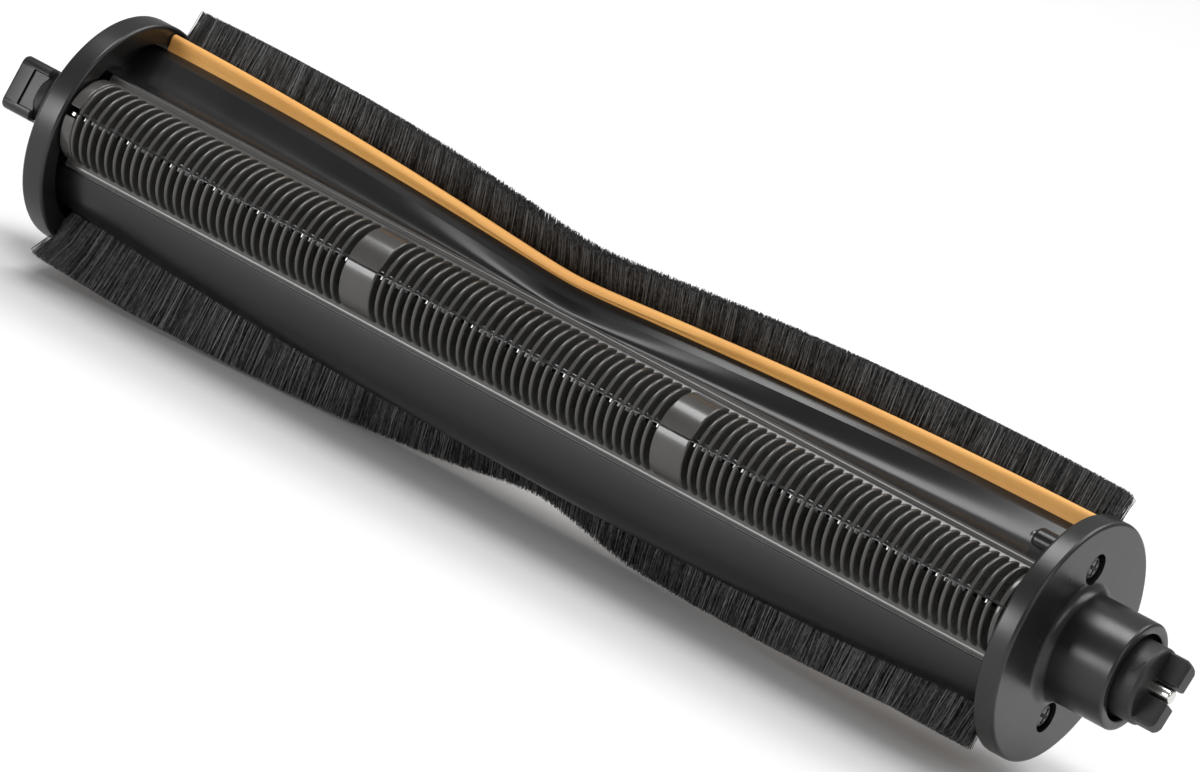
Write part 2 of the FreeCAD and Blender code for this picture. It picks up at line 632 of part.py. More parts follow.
def make_screw():
    """Self-tapping cap screw with a low pan head, on the axis."""
    tip = X_CORE_RIGHT - SCREW_LENGTH
    seat = X_BEARING_OUT - SCREW_SEAT_DEPTH
    top = seat + SCREW_HEAD_HEIGHT
    screw = turned([(tip, 0), (tip + SCREW_RADIUS, SCREW_RADIUS), (seat, SCREW_RADIUS),
                    (seat, SCREW_HEAD_RADIUS), (top - SCREW_HEAD_HEIGHT / 2, SCREW_HEAD_RADIUS),
                    (top, SCREW_HEAD_RADIUS / 2), (top, 0)])
    screw.translate(V(0, *polar(SCREW_CIRCLE, SCREW_ANGLE)))
    return screw


def make_guide_pin(place):
    """Steel guide pin across both plates, seated in both core halves."""
    reach = GUIDE_PIN_SEAT + BLADE_POCKET
    return Part.makeCylinder(GUIDE_PIN_RADIUS, 2 * reach, V(place, 0, -reach), V(0, 0, 1))


def make_parts():
    """Every piece by name, in the drawing position."""
    strip_from = X_DRIVE_IN + END_CLEAR
    strip_to = X_BEARING_IN - END_CLEAR
    pieces = {}
    halves = {
        "core": make_core(),
        "fairing": chevron_loft(fairing_outline, X_CORE_LEFT, X_CORE_RIGHT),
        "wiper": chevron_loft(wiper_outline, strip_from, strip_to),
        "bristle_spine": chevron_loft(spine_outline, strip_from, strip_to),
        "bristles": chevron_loft(bristle_outline, strip_from, strip_to),
        "cap_screw": make_screw(),
    }
    for name, shape in halves.items():
        pieces[name + "_upper"] = shape
        pieces[name + "_lower"] = half_turn(shape)
    jaw = make_comb_jaw()
    lower_jaw = mirrored(jaw)
    pieces["comb_front_upper"] = jaw
    pieces["comb_front_lower"] = lower_jaw
    pieces["comb_back_upper"] = half_turn(lower_jaw)
    pieces["comb_back_lower"] = half_turn(jaw)
    pieces["backing_plate"] = make_backing_plate()
    pieces["moving_blade"] = make_moving_blade()
    for number, place in enumerate(guide_places(), 1):
        pieces["guide_pin_%d" % number] = make_guide_pin(place)
    pieces["drive_cap"] = make_drive_cap()
    pieces["bearing_cap"] = make_bearing_cap()
    pieces["axle_bush"] = rod(BUSH_RADIUS - RUN / 2, X_BUSH_IN, X_BUSH_OUT).cut(
        rod(SHANK_RADIUS + RUN, X_BUSH_IN, X_BUSH_OUT))
    pieces["end_key"] = make_key()
    pieces["axle_pin"] = rod(PIN_RADIUS, X_SHANK_END + CLEAR, X_DOG_END - PIN_SHORT)
    pieces["cam_drum"] = make_cam()
    pieces["retaining_clip"] = make_clip()
    return pieces


def main():
    """Build every piece, lay the brush on its bristles and write the STEP files."""
    os.makedirs("parts", exist_ok=True)
    for name, shape in make_parts().items():
        shape.rotate(V(0, 0, 0), AXIS, -REST_TILT)
        solids = shape.Solids
        print("%-18s solids %d valid %s volume %.1f" % (name, len(solids), shape.isValid(), shape.Volume))
        (solids[0] if len(solids) == 1 else shape).exportStep("parts/%s.step" % name)


main()
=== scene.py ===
"""Robot vacuum roller brush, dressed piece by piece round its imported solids.

Sizes are millimetres and degrees in the drawing position, with the front comb facing -Y. Every
point is then turned to the rest position and scaled to metres.
"""

import logging
import math
from dataclasses import dataclass
from enum import Enum
from typing import Callable, Sequence

import bmesh
import bpy
import numpy as np
from mathutils import Matrix, Vector


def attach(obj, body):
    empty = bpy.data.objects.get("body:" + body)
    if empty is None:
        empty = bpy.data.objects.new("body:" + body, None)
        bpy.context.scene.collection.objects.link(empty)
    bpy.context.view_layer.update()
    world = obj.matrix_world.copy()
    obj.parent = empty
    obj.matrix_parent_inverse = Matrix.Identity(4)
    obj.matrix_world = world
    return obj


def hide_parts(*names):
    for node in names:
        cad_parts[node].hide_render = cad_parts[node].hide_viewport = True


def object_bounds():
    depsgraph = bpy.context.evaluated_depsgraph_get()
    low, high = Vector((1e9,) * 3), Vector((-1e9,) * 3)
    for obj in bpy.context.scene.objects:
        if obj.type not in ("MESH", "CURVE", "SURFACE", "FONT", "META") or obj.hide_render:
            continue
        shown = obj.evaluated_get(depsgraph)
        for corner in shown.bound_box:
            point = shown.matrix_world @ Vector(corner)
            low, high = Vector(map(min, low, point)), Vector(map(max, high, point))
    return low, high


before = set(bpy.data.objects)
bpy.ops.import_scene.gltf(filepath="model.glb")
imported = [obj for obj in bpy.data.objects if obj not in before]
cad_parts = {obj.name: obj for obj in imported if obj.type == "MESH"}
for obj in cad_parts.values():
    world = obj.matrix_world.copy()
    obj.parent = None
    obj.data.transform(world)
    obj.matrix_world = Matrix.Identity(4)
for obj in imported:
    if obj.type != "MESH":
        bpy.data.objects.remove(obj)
CAD_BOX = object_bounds()
LOG = logging.getLogger("roller_brush")
MM = 0.001
WELD_DISTANCE = 1e-7
GOLDEN_SHARE = (math.sqrt(5) - 1) / 2

Point = tuple[float, float]
Place = tuple[float, float, float]
Colour = tuple[float, float, float]
Tree = bpy.types.NodeTree
Socket = bpy.types.NodeSocket


class Half(Enum):
    """Which half of the roller a piece belongs to, as its turn about the axis."""

    UPPER = 0.0
    LOWER = 180.0

    def node(self, stem: str) -> str:
        """Name of the solid of this half."""
        return f"{stem}_{self.name.lower()}"


class Pattern(Enum):
    """How the colour and the fine grain of a finish run."""

    MOULDED = "moulded"
    BRUSHED = "brushed"
    HAIR = "hair"
    # Painted glint: the colour turns light at the blade's points.
    GLINT_TIPPED = "glint_tipped"


@dataclass(frozen=True)
class Roller:
    """Sizes that the roller's pieces share."""

    tilt: float = 16.75
    span: float = 167.4
    x_stub_end: float = -103.65
    x_stub_neck: float = -98.25
    x_drive_out: float = -88.35
    x_drive_in: float = -84.35
    x_bearing_in: float = 83.05
    x_bearing_out: float = 86.45
    x_hub_end: float = 97.05
    x_key_end: float = 100.25
    x_dog_end: float = 103.65
    flange_radius: float = 18.0
    rim_round: float = 0.55
    vertex_round: float = 0.06
    wiper_angle_end: float = 90.0
    wiper_angle_mid: float = 53.5
    groove_radius: float = 11.2
    rail_height_end: float = 3.3
    rail_height_mid: float = 4.0
    spine_top: float = 13.4
    strip_gap: float = 0.5
    spigot_end: float = -77.85
    shank_end: float = 71.15
    hub_back: float = 80.55
    screw_circle: float = 11.3
    screw_angle: float = 66.8
    screw_seat: float = 1.4
    comb_centre: float = 11.2
    comb_radius: float = 6.4
    brim_top: float = 7.5
    brim_back: float = 10.2
    neck_top: float = 6.3
    neck_back: float = 7.6
    blade_pocket: float = 0.555
    comb_length: float = 167.0
    comb_banks: int = 3
    comb_band: float = 5.0
    comb_end: float = 2.3
    clear: float = 0.1

    @property
    def x_mid(self) -> float:
        """Middle between the flanges."""
        return (self.x_drive_in + self.x_bearing_in) / 2

    @property
    def comb_start(self) -> float:
        """Drive end of the combs."""
        return self.x_mid - self.comb_length / 2

    @property
    def bank(self) -> float:
        """Length of one bank of comb slots."""
        bands = (self.comb_banks - 1) * self.comb_band
        return (self.comb_length - 2 * self.comb_end - bands) / self.comb_banks

    def bank_starts(self) -> list[float]:
        """Where each bank of comb slots begins."""
        first = self.comb_start + self.comb_end
        return [first + number * (self.bank + self.comb_band) for number in range(self.comb_banks)]

    def sweep(self, x: float) -> float:
        """Share of the chevron's swing at x, 0 at its vertex and 1 at the flanges."""
        rounding = self.vertex_round
        place = (x - self.x_mid) / (self.span / 2)
        return (math.hypot(place, rounding) - rounding) / (math.hypot(1, rounding) - rounding)

    def swept(self, middle: float, end: float, x: float) -> float:
        """Value at x of something that changes with the chevron's swing."""
        return middle + (end - middle) * self.sweep(x)

    def wiper_angle(self, x: float) -> float:
        """Angle of the wiper's root at x."""
        return self.swept(self.wiper_angle_mid, self.wiper_angle_end, x)

    def rail_radius(self, x: float) -> float:
        """Radius at x of the rail in front of the wiper's foot."""
        return self.groove_radius + self.swept(self.rail_height_mid, self.rail_height_end, x)

    def rest(self, points: np.ndarray, turn: float = 0.0) -> np.ndarray:
        """Turn drawn points to the rest position.

        Args:
            points: drawn points as rows of x, y, z in millimetres.
            turn: further turn about the roller's axis, in degrees.

        Returns:
            The points in metres in the part's frame.
        """
        angle = math.radians(turn - self.tilt)
        turned = np.array(points, float)
        y, z = turned[:, 1].copy(), turned[:, 2].copy()
        turned[:, 1] = y * math.cos(angle) - z * math.sin(angle)
        turned[:, 2] = y * math.sin(angle) + z * math.cos(angle)
        return turned * MM


def polar(radius: float, angle: float) -> Point:
    """Section point (y, z) at a radius and an angle from the front crest."""
    turn = math.radians(angle)
    return (-radius * math.cos(turn), radius * math.sin(turn))


def angle_of(point: Point) -> float:
    """Angle from the front crest of a section point."""
    return math.degrees(math.atan2(point[1], -point[0]))


def rounded_corner(centre: Point, radius: float, start: float, end: float,
                   steps: int = 4) -> list[Point]:
    """Points of a round corner in a flat profile.

    Args:
        centre: centre of the round.
        radius: its radius.
        start: first angle from the profile's first axis, in degrees.
        end: last angle.
        steps: chords.

    Returns:
        The corner's points in order.
    """
    turns = [math.radians(start + (end - start) * step / steps) for step in range(steps + 1)]
    return [(centre[0] + radius * math.cos(turn), centre[1] + radius * math.sin(turn))
            for turn in turns]


ROLLER = Roller()


def flange_rim(first: float, last: float) -> list[Point]:
    """Profile of a flange's rounded rim between two places along the axis."""
    soft = ROLLER.rim_round
    middle = ROLLER.flange_radius - soft
    return [*rounded_corner((first + soft, middle), soft, 180, 90),
            *rounded_corner((last - soft, middle), soft, 90, 0)]


def grey(level: float) -> Colour:
    """A colour with no tint."""
    return (level, level, level)


def fill_inputs(tree: Tree, node: bpy.types.Node, inputs: dict[str | int, object]) -> None:
    """Set each named input of a node, or link it where the value is another node's output."""
    for name, value in inputs.items():
        if isinstance(value, Socket):
            tree.links.new(value, node.inputs[name])
        else:
            node.inputs[name].default_value = value


def add_node(tree: Tree, kind: str, out: str, inputs: dict[str | int, object],
             **settings: str) -> Socket:
    """Add a shader node.

    Args:
        tree: node tree to add to.
        kind: the node's kind, without the words that every kind begins with.
        out: name of the output that is wanted.
        inputs: values or other nodes' outputs for the inputs that are used.
        settings: the node's own choices.

    Returns:
        The wanted output.
    """
    node = tree.nodes.new("ShaderNode" + kind)
    for name, value in settings.items():
        setattr(node, name, value)
    fill_inputs(tree, node, inputs)
    return node.outputs[out]


GRAIN_HEIGHT = 0.05 * MM
DRIFT_DETAIL, GLOSS_DETAIL, GRAIN_DETAIL, GLINT_MOTTLE_DETAIL = 3.0, 4.0, 2.0, 1.0
GLOSS_FINENESS = 4
GLINT_MOTTLE_SHARE = 0.7
RAMP_ENDS = (0.3, 0.7)
GLINT_BLUR = 0.1
# Bends over which edges turn lighter: wear, and on the comb partly a painted highlight.
WEAR_AND_SHEEN_BENDS = (5.0, 115.0)
SQUARE_BEND = 60.0
BRUSHED_STRETCH = (0.04, 1.0, 1.0)


@dataclass(frozen=True)
class Finish:
    """One procedural finish: its material slot, colour drift, gloss and grain."""

    name: str
    slot: str
    dark: Colour
    light: Colour
    roughness: tuple[float, float]
    grain_mm: float = 0.25
    grain_depth: float = 0.1
    drift_mm: float = 14.0
    metallic: float = 0.0
    specular: float = 0.5
    coat: float = 0.0
    coat_roughness: float = 0.1
    # Colour of outward edges: edge wear, and on the comb partly a painted highlight.
    edge: Colour | None = None
    glint_reach: float = 0.0
    pattern: Pattern = Pattern.MOULDED

    def material(self) -> bpy.types.Material:
        """Make the material once, and give it again after that.

        Returns:
            The node-based material of this finish.
        """
        found = bpy.data.materials.get(self.name)
        if found:
            return found
        material = bpy.data.materials.new(self.name)
        material.use_nodes = True
        tree = material.node_tree
        place = add_node(tree, "TexCoord", "Object", {})
        colour = self._ramp(tree, self._share(tree, place))
        if self.edge is not None:
            colour = self._worn_and_sheen_edges(tree, colour)
        gloss = self._noise(tree, place, self.drift_mm / GLOSS_FINENESS, GLOSS_DETAIL)
        low, high = self.roughness
        roughness = add_node(tree, "MapRange", "Result",
                             {"Value": gloss, "To Min": low, "To Max": high})
        normal = add_node(tree, "Bump", "Normal",
                          {"Height": self._grain(tree, place), "Strength": self.grain_depth,
                           "Distance": GRAIN_HEIGHT})
        fill_inputs(tree, tree.nodes["Principled BSDF"],
                    {"Base Color": colour, "Roughness": roughness, "Normal": normal,
                     "Metallic": self.metallic, "Specular IOR Level": self.specular,
                     "Coat Weight": self.coat, "Coat Roughness": self.coat_roughness})
        return material

    def dress(self, solid: bpy.types.Object) -> None:
        """Give an object this finish and no other."""
        solid.data.materials.clear()
        solid.data.materials.append(self.material())

    def _noise(self, tree: Tree, place: Socket, size_mm: float, detail: float) -> Socket:
        """Cloudy noise with features of a size."""
        return add_node(tree, "TexNoise", "Fac",
                        {"Vector": place, "Scale": 1.0 / (size_mm * MM), "Detail": detail})

    def _share(self, tree: Tree, place: Socket) -> Socket:
        """Value that picks between the finish's two colours."""
        if self.pattern is Pattern.HAIR:
            return self._hair_share(tree, place)
        if self.pattern is Pattern.GLINT_TIPPED:
            return self._glint_tip_share(tree, place)
        return self._noise(tree, place, self.drift_mm, DRIFT_DETAIL)

    def _hair_share(self, tree: Tree, place: Socket) -> Socket:
        """Tone that each hair carries, with painted glints spotted along its length."""
        shade = add_node(tree, "Attribute", "Fac", {}, attribute_name="hair_shade")
        # Painted glints: fine noise lightens the hairs in short stretches.
        painted_glints = self._noise(tree, place, self.drift_mm, GLINT_MOTTLE_DETAIL)
        return add_node(tree, "Math", "Value", {0: painted_glints, 1: GLINT_MOTTLE_SHARE, 2: shade},
                        operation="MULTIPLY_ADD")

    def _glint_tip_share(self, tree: Tree, place: Socket) -> Socket:
        """Share that rises to 1 at the cutter's points, where the colour is a painted glint."""
        tilt = math.radians(ROLLER.tilt)
        outward = (0.0, math.cos(tilt), -math.sin(tilt))
        along = add_node(tree, "VectorMath", "Value", {0: place, 1: outward},
                         operation="DOT_PRODUCT")
        reach = add_node(tree, "Math", "Value", {0: along}, operation="ABSOLUTE")
        return add_node(tree, "MapRange", "Result",
                        {"Value": reach, "From Min": (self.glint_reach - GLINT_BLUR) * MM,
                         "From Max": (self.glint_reach + GLINT_BLUR) * MM})

    def _ramp(self, tree: Tree, share: Socket) -> Socket:
        """Colour between dark and light that a share picks."""
        picked = add_node(tree, "ValToRGB", "Color", {"Fac": share})
        stops = zip(picked.node.color_ramp.elements, RAMP_ENDS, (self.dark, self.light))
        for stop, position, colour in stops:
            stop.position = position
            stop.color = (*colour, 1.0)
        return picked

    def _worn_and_sheen_edges(self, tree: Tree, colour: Socket) -> Socket:
        """Colour with its outward edges lighter: edge wear, and on the comb also a painted
        highlight along the rounded ribs.
        """
        bend = add_node(tree, "Attribute", "Fac", {}, attribute_name="edge_bend")
        least, most = (math.radians(angle) for angle in WEAR_AND_SHEEN_BENDS)
        wear_and_sheen = add_node(tree, "MapRange", "Result",
                          {"Value": bend, "From Min": least, "From Max": most})
        return add_node(tree, "Mix", "Result",
                        {"Factor": wear_and_sheen, "A": colour, "B": (*self.edge, 1.0)},
                        data_type="RGBA")

    def _grain(self, tree: Tree, place: Socket) -> Socket:
        """Height of the fine grain, drawn out along the roller where the finish is brushed."""
        if self.pattern is Pattern.BRUSHED:
            place = add_node(tree, "Mapping", "Vector", {"Vector": place, "Scale": BRUSHED_STRETCH})
        return self._noise(tree, place, self.grain_mm, GRAIN_DETAIL)


SATIN_BLACK = Finish("satin_black_plastic", "cap_plastic", grey(0.007), grey(0.011), (0.24, 0.34),
                     grain_mm=0.22, grain_depth=0.12, edge=grey(0.03))
PANEL_BLACK = Finish("panel_black_plastic", "body_plastic", grey(0.006), grey(0.009), (0.26, 0.34),
                     grain_mm=0.3, grain_depth=0.06, drift_mm=25.0)
# Its edge colour is partly edge wear and partly a painted highlight on the rounded rib tops.
COMB_GREY = Finish("polished_comb_plastic", "comb_plastic", (0.042, 0.040, 0.038),
                   (0.056, 0.054, 0.051), (0.2, 0.3), grain_mm=0.4, grain_depth=0.05,
                   edge=(0.12, 0.116, 0.11), coat=0.3)
TROUGH_BLACK = Finish("glossy_trough_plastic", "body_plastic", grey(0.008), grey(0.012),
                      (0.2, 0.28), grain_mm=0.5, grain_depth=0.04, drift_mm=20.0, specular=0.35)
KEY_BLACK = Finish("matt_key_plastic", "key_plastic", grey(0.007), grey(0.012), (0.42, 0.55),
                   grain_mm=0.2, grain_depth=0.15, edge=grey(0.03))
ORANGE_RUBBER = Finish("orange_wiper_rubber", "wiper_rubber", (0.74, 0.36, 0.095),
                       (0.82, 0.43, 0.12), (0.45, 0.58), grain_mm=0.18, grain_depth=0.2,
                       drift_mm=18.0, specular=0.35)
# Each hair's tone varies at random; the fine spots along the hairs are painted glints.
NYLON = Finish("black_nylon_hair", "bristle_nylon", grey(0.006), grey(0.13), (0.34, 0.5),
               grain_mm=0.12, grain_depth=0.05, drift_mm=0.5, pattern=Pattern.HAIR)
STRIP_BLACK = Finish("strip_black_plastic", "spine_plastic", grey(0.008), grey(0.014), (0.5, 0.6))
BRIGHT_STEEL = Finish("ground_bright_steel", "pin_steel", (0.62, 0.61, 0.58), (0.8, 0.79, 0.76),
                      (0.16, 0.3), grain_mm=0.08, grain_depth=0.15, metallic=1.0,
                      pattern=Pattern.BRUSHED)
# Painted shade and painted glints: the blade steel is near black for the shade it sits in, and near
# white at its points for glints.
BLADE_PAINTED_SHADE_AND_GLINTS = Finish("blade_steel_painted_shade_glint_tips", "blade_steel", grey(0.02),
                     (0.92, 0.91, 0.88), (0.4, 0.5), grain_mm=0.1, metallic=0.6,
                     glint_reach=15.8, pattern=Pattern.GLINT_TIPPED)
BLACKED_STEEL = Finish("blacked_screw_steel", "screw_steel", grey(0.10), grey(0.16), (0.28, 0.4),
                       grain_mm=0.3, grain_depth=0.08, metallic=0.9)
NATURAL_BUSH = Finish("natural_bush_plastic", "bush_plastic", (0.62, 0.6, 0.54),
                      (0.7, 0.68, 0.62), (0.4, 0.5))
PALE_FLOOR = Finish("pale_floor", "", grey(0.86), grey(0.88), (0.7, 0.8), grain_mm=2.0,
                    grain_depth=0.02, drift_mm=200.0, specular=0.1)


def ring_faces(rings: int, corners: int) -> list[tuple[int, ...]]:
    """Faces of a skin between closed rings of equally many corners."""
    return [(ring * corners + corner, ring * corners + (corner + 1) % corners,
             (ring + 1) * corners + (corner + 1) % corners, (ring + 1) * corners + corner)
            for ring in range(rings - 1) for corner in range(corners)]


class MeshDraft:
    """Points and faces gathered for one piece, in drawing millimetres."""

    def __init__(self) -> None:
        """Start with nothing drawn."""
        self.points: list[np.ndarray] = []
        self.faces: list[Sequence[int]] = []
        self.count = 0

    def add(self, points: np.ndarray, faces: Sequence[Sequence[int]]) -> None:
        """Add points, and faces counted from the first of them."""
        start = self.count
        self.points.append(np.asarray(points, float))
        self.faces.extend([start + index for index in face] for face in faces)
        self.count += len(points)

    def loft(self, rings: Sequence[Sequence[Place]], capped: bool = True) -> None:
        """Add a skin through closed rings.

        Args:
            rings: rings of equally many points.
            capped: whether the first and last ring are closed with a face.
        """
        skin = np.array(rings, float)
        total, corners, _ = skin.shape
        faces = ring_faces(total, corners)
        if capped:
            faces.append(tuple(reversed(range(corners))))
            faces.append(tuple(range((total - 1) * corners, total * corners)))
        self.add(skin.reshape(-1, 3), faces)

    def sections(self, outline_at: Callable[[float], Sequence[Point]],
                 places: Sequence[float]) -> None:
        """Add a skin through the sections that a rule gives along the axis."""
        self.loft([[(x, y, z) for y, z in outline_at(x)] for x in places])

    def turned(self, profile: Sequence[Point], steps: int, at: Point = (0.0, 0.0)) -> None:
        """Add a skin turned about the axis direction.

        Args:
            profile: run of (x, radius) points, closed or with both ends on the turning axis.
            steps: faces round the turn.
            at: (y, z) of the turning axis.
        """
        angles = np.linspace(0, 2 * math.pi, steps, endpoint=False)
        self.loft([[(x, at[0] + radius * math.cos(a), at[1] + radius * math.sin(a))
                    for a in angles] for x, radius in profile], capped=False)

    def mirror(self) -> None:
        """Mirror what is drawn in the plane between the core halves."""
        self.points = [points * np.array((1.0, 1.0, -1.0)) for points in self.points]
        self.faces = [list(reversed(face)) for face in self.faces]

    def solid(self, name: str, turn: float = 0.0) -> bpy.types.Object:
        """Make a bare object of what is drawn.

        Args:
            name: name of the object.
            turn: turn about the roller's axis, in degrees.

        Returns:
            The new object, linked to the scene.
        """
        mesh = bpy.data.meshes.new(name)
        points = ROLLER.rest(np.concatenate(self.points), turn)
        mesh.from_pydata(points.tolist(), [], self.faces)
        mesh.validate()
        close_skin(mesh)
        solid = bpy.data.objects.new(name, mesh)
        bpy.context.scene.collection.objects.link(solid)
        return solid

    def piece(self, name: str, finish: Finish, stands_for: Sequence[str] = (), turn: float = 0.0,
              sharp: float = 35.0, body: str = "roller", weighed: bool = True,
              cutters: Sequence[bpy.types.Object] = ()) -> bpy.types.Object:
        """Make the drawn piece, dress it and let it ride.

        Args:
            name: name of the piece.
            finish: its finish.
            stands_for: solids that it is shown for.
            turn: turn about the roller's axis, in degrees.
            sharp: edges that bend more than this stay sharp, in degrees.
            body: the body that it rides on.
            weighed: whether large faces keep their own direction beside soft edges.
            cutters: objects whose space is taken out.

        Returns:
            The new object.
        """
        piece = self.solid(name, turn)
        if cutters:
            cut_away(piece, cutters)
        piece.data.shade_smooth()
        piece.data.set_sharp_from_angle(angle=math.radians(sharp))
        if finish.edge is not None:
            mark_bends(piece.data)
        if weighed:
            piece.modifiers.new("weighed_normals", "WEIGHTED_NORMAL").keep_sharp = True
        finish.dress(piece)
        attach(piece, body)
        if stands_for:
            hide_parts(*stands_for)
        LOG.info("piece %s: %d faces on %s", name, len(piece.data.polygons), body)
        return piece


def close_skin(mesh: bpy.types.Mesh) -> None:
    """Join points that lie together along the open edges of a skin."""
    shape = bmesh.new()
    shape.from_mesh(mesh)
    rim = [point for point in shape.verts if point.is_boundary]
    bmesh.ops.remove_doubles(shape, verts=rim, dist=WELD_DISTANCE)
    shape.to_mesh(mesh)
    shape.free()


def mark_bends(mesh: bpy.types.Mesh) -> None:
    """Give each point the sharpest soft outward bend of its edges, in radians."""
    sides = np.empty(len(mesh.loops), np.int32)
    mesh.loops.foreach_get("edge_index", sides)
    corners = np.empty(len(mesh.polygons), np.int32)
    mesh.polygons.foreach_get("loop_total", corners)
    faces = np.repeat(np.arange(len(corners)), corners)
    normals, centres = np.empty((2, len(corners), 3), np.float32)
    mesh.polygons.foreach_get("normal", normals.ravel())
    mesh.polygons.foreach_get("center", centres.ravel())
    ends = np.empty((len(mesh.edges), 2), np.int32)
    mesh.edges.foreach_get("vertices", ends.ravel())
    order = np.argsort(sides, kind="stable")
    shared = np.flatnonzero(np.diff(sides[order]) == 0)
    one, other = faces[order[shared]], faces[order[shared + 1]]
    bend = np.arccos(np.clip((normals[one] * normals[other]).sum(axis=1), -1.0, 1.0))
    soft = bend < math.radians(SQUARE_BEND)
    outward = ((centres[other] - centres[one]) * normals[one]).sum(axis=1) < 0
    sharpest = np.zeros(len(mesh.vertices), np.float32)
    touched = ends[sides[order[shared]]].ravel()
    np.maximum.at(sharpest, touched, np.repeat(bend * soft * outward, 2))
    mesh.attributes.new("edge_bend", "FLOAT", "POINT").data.foreach_set("value", sharpest)


def cut_away(piece: bpy.types.Object, cutters: Sequence[bpy.types.Object]) -> None:
    """Cut shapes out of a piece and drop the cutters.

    Args:
        piece: object that is cut.
        cutters: objects whose space is taken out.
    """
    for cutter in cutters:
        modifier = piece.modifiers.new("cut", "BOOLEAN")
        modifier.operation = "DIFFERENCE"
        modifier.solver = "EXACT"
        modifier.object = cutter
    bpy.context.view_layer.update()
    graph = bpy.context.evaluated_depsgraph_get()
    mesh = bpy.data.meshes.new_from_object(piece.evaluated_get(graph))
    piece.modifiers.clear()
    old, piece.data = piece.data, mesh
    bpy.data.meshes.remove(old)
    for cutter in cutters:
        bpy.data.objects.remove(cutter)


def dress_node(node: str, finish: Finish) -> None:
    """Give a solid that stays in view its finish."""
    finish.dress(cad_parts[node])
    LOG.info("solid %s: %s", node, finish.name)


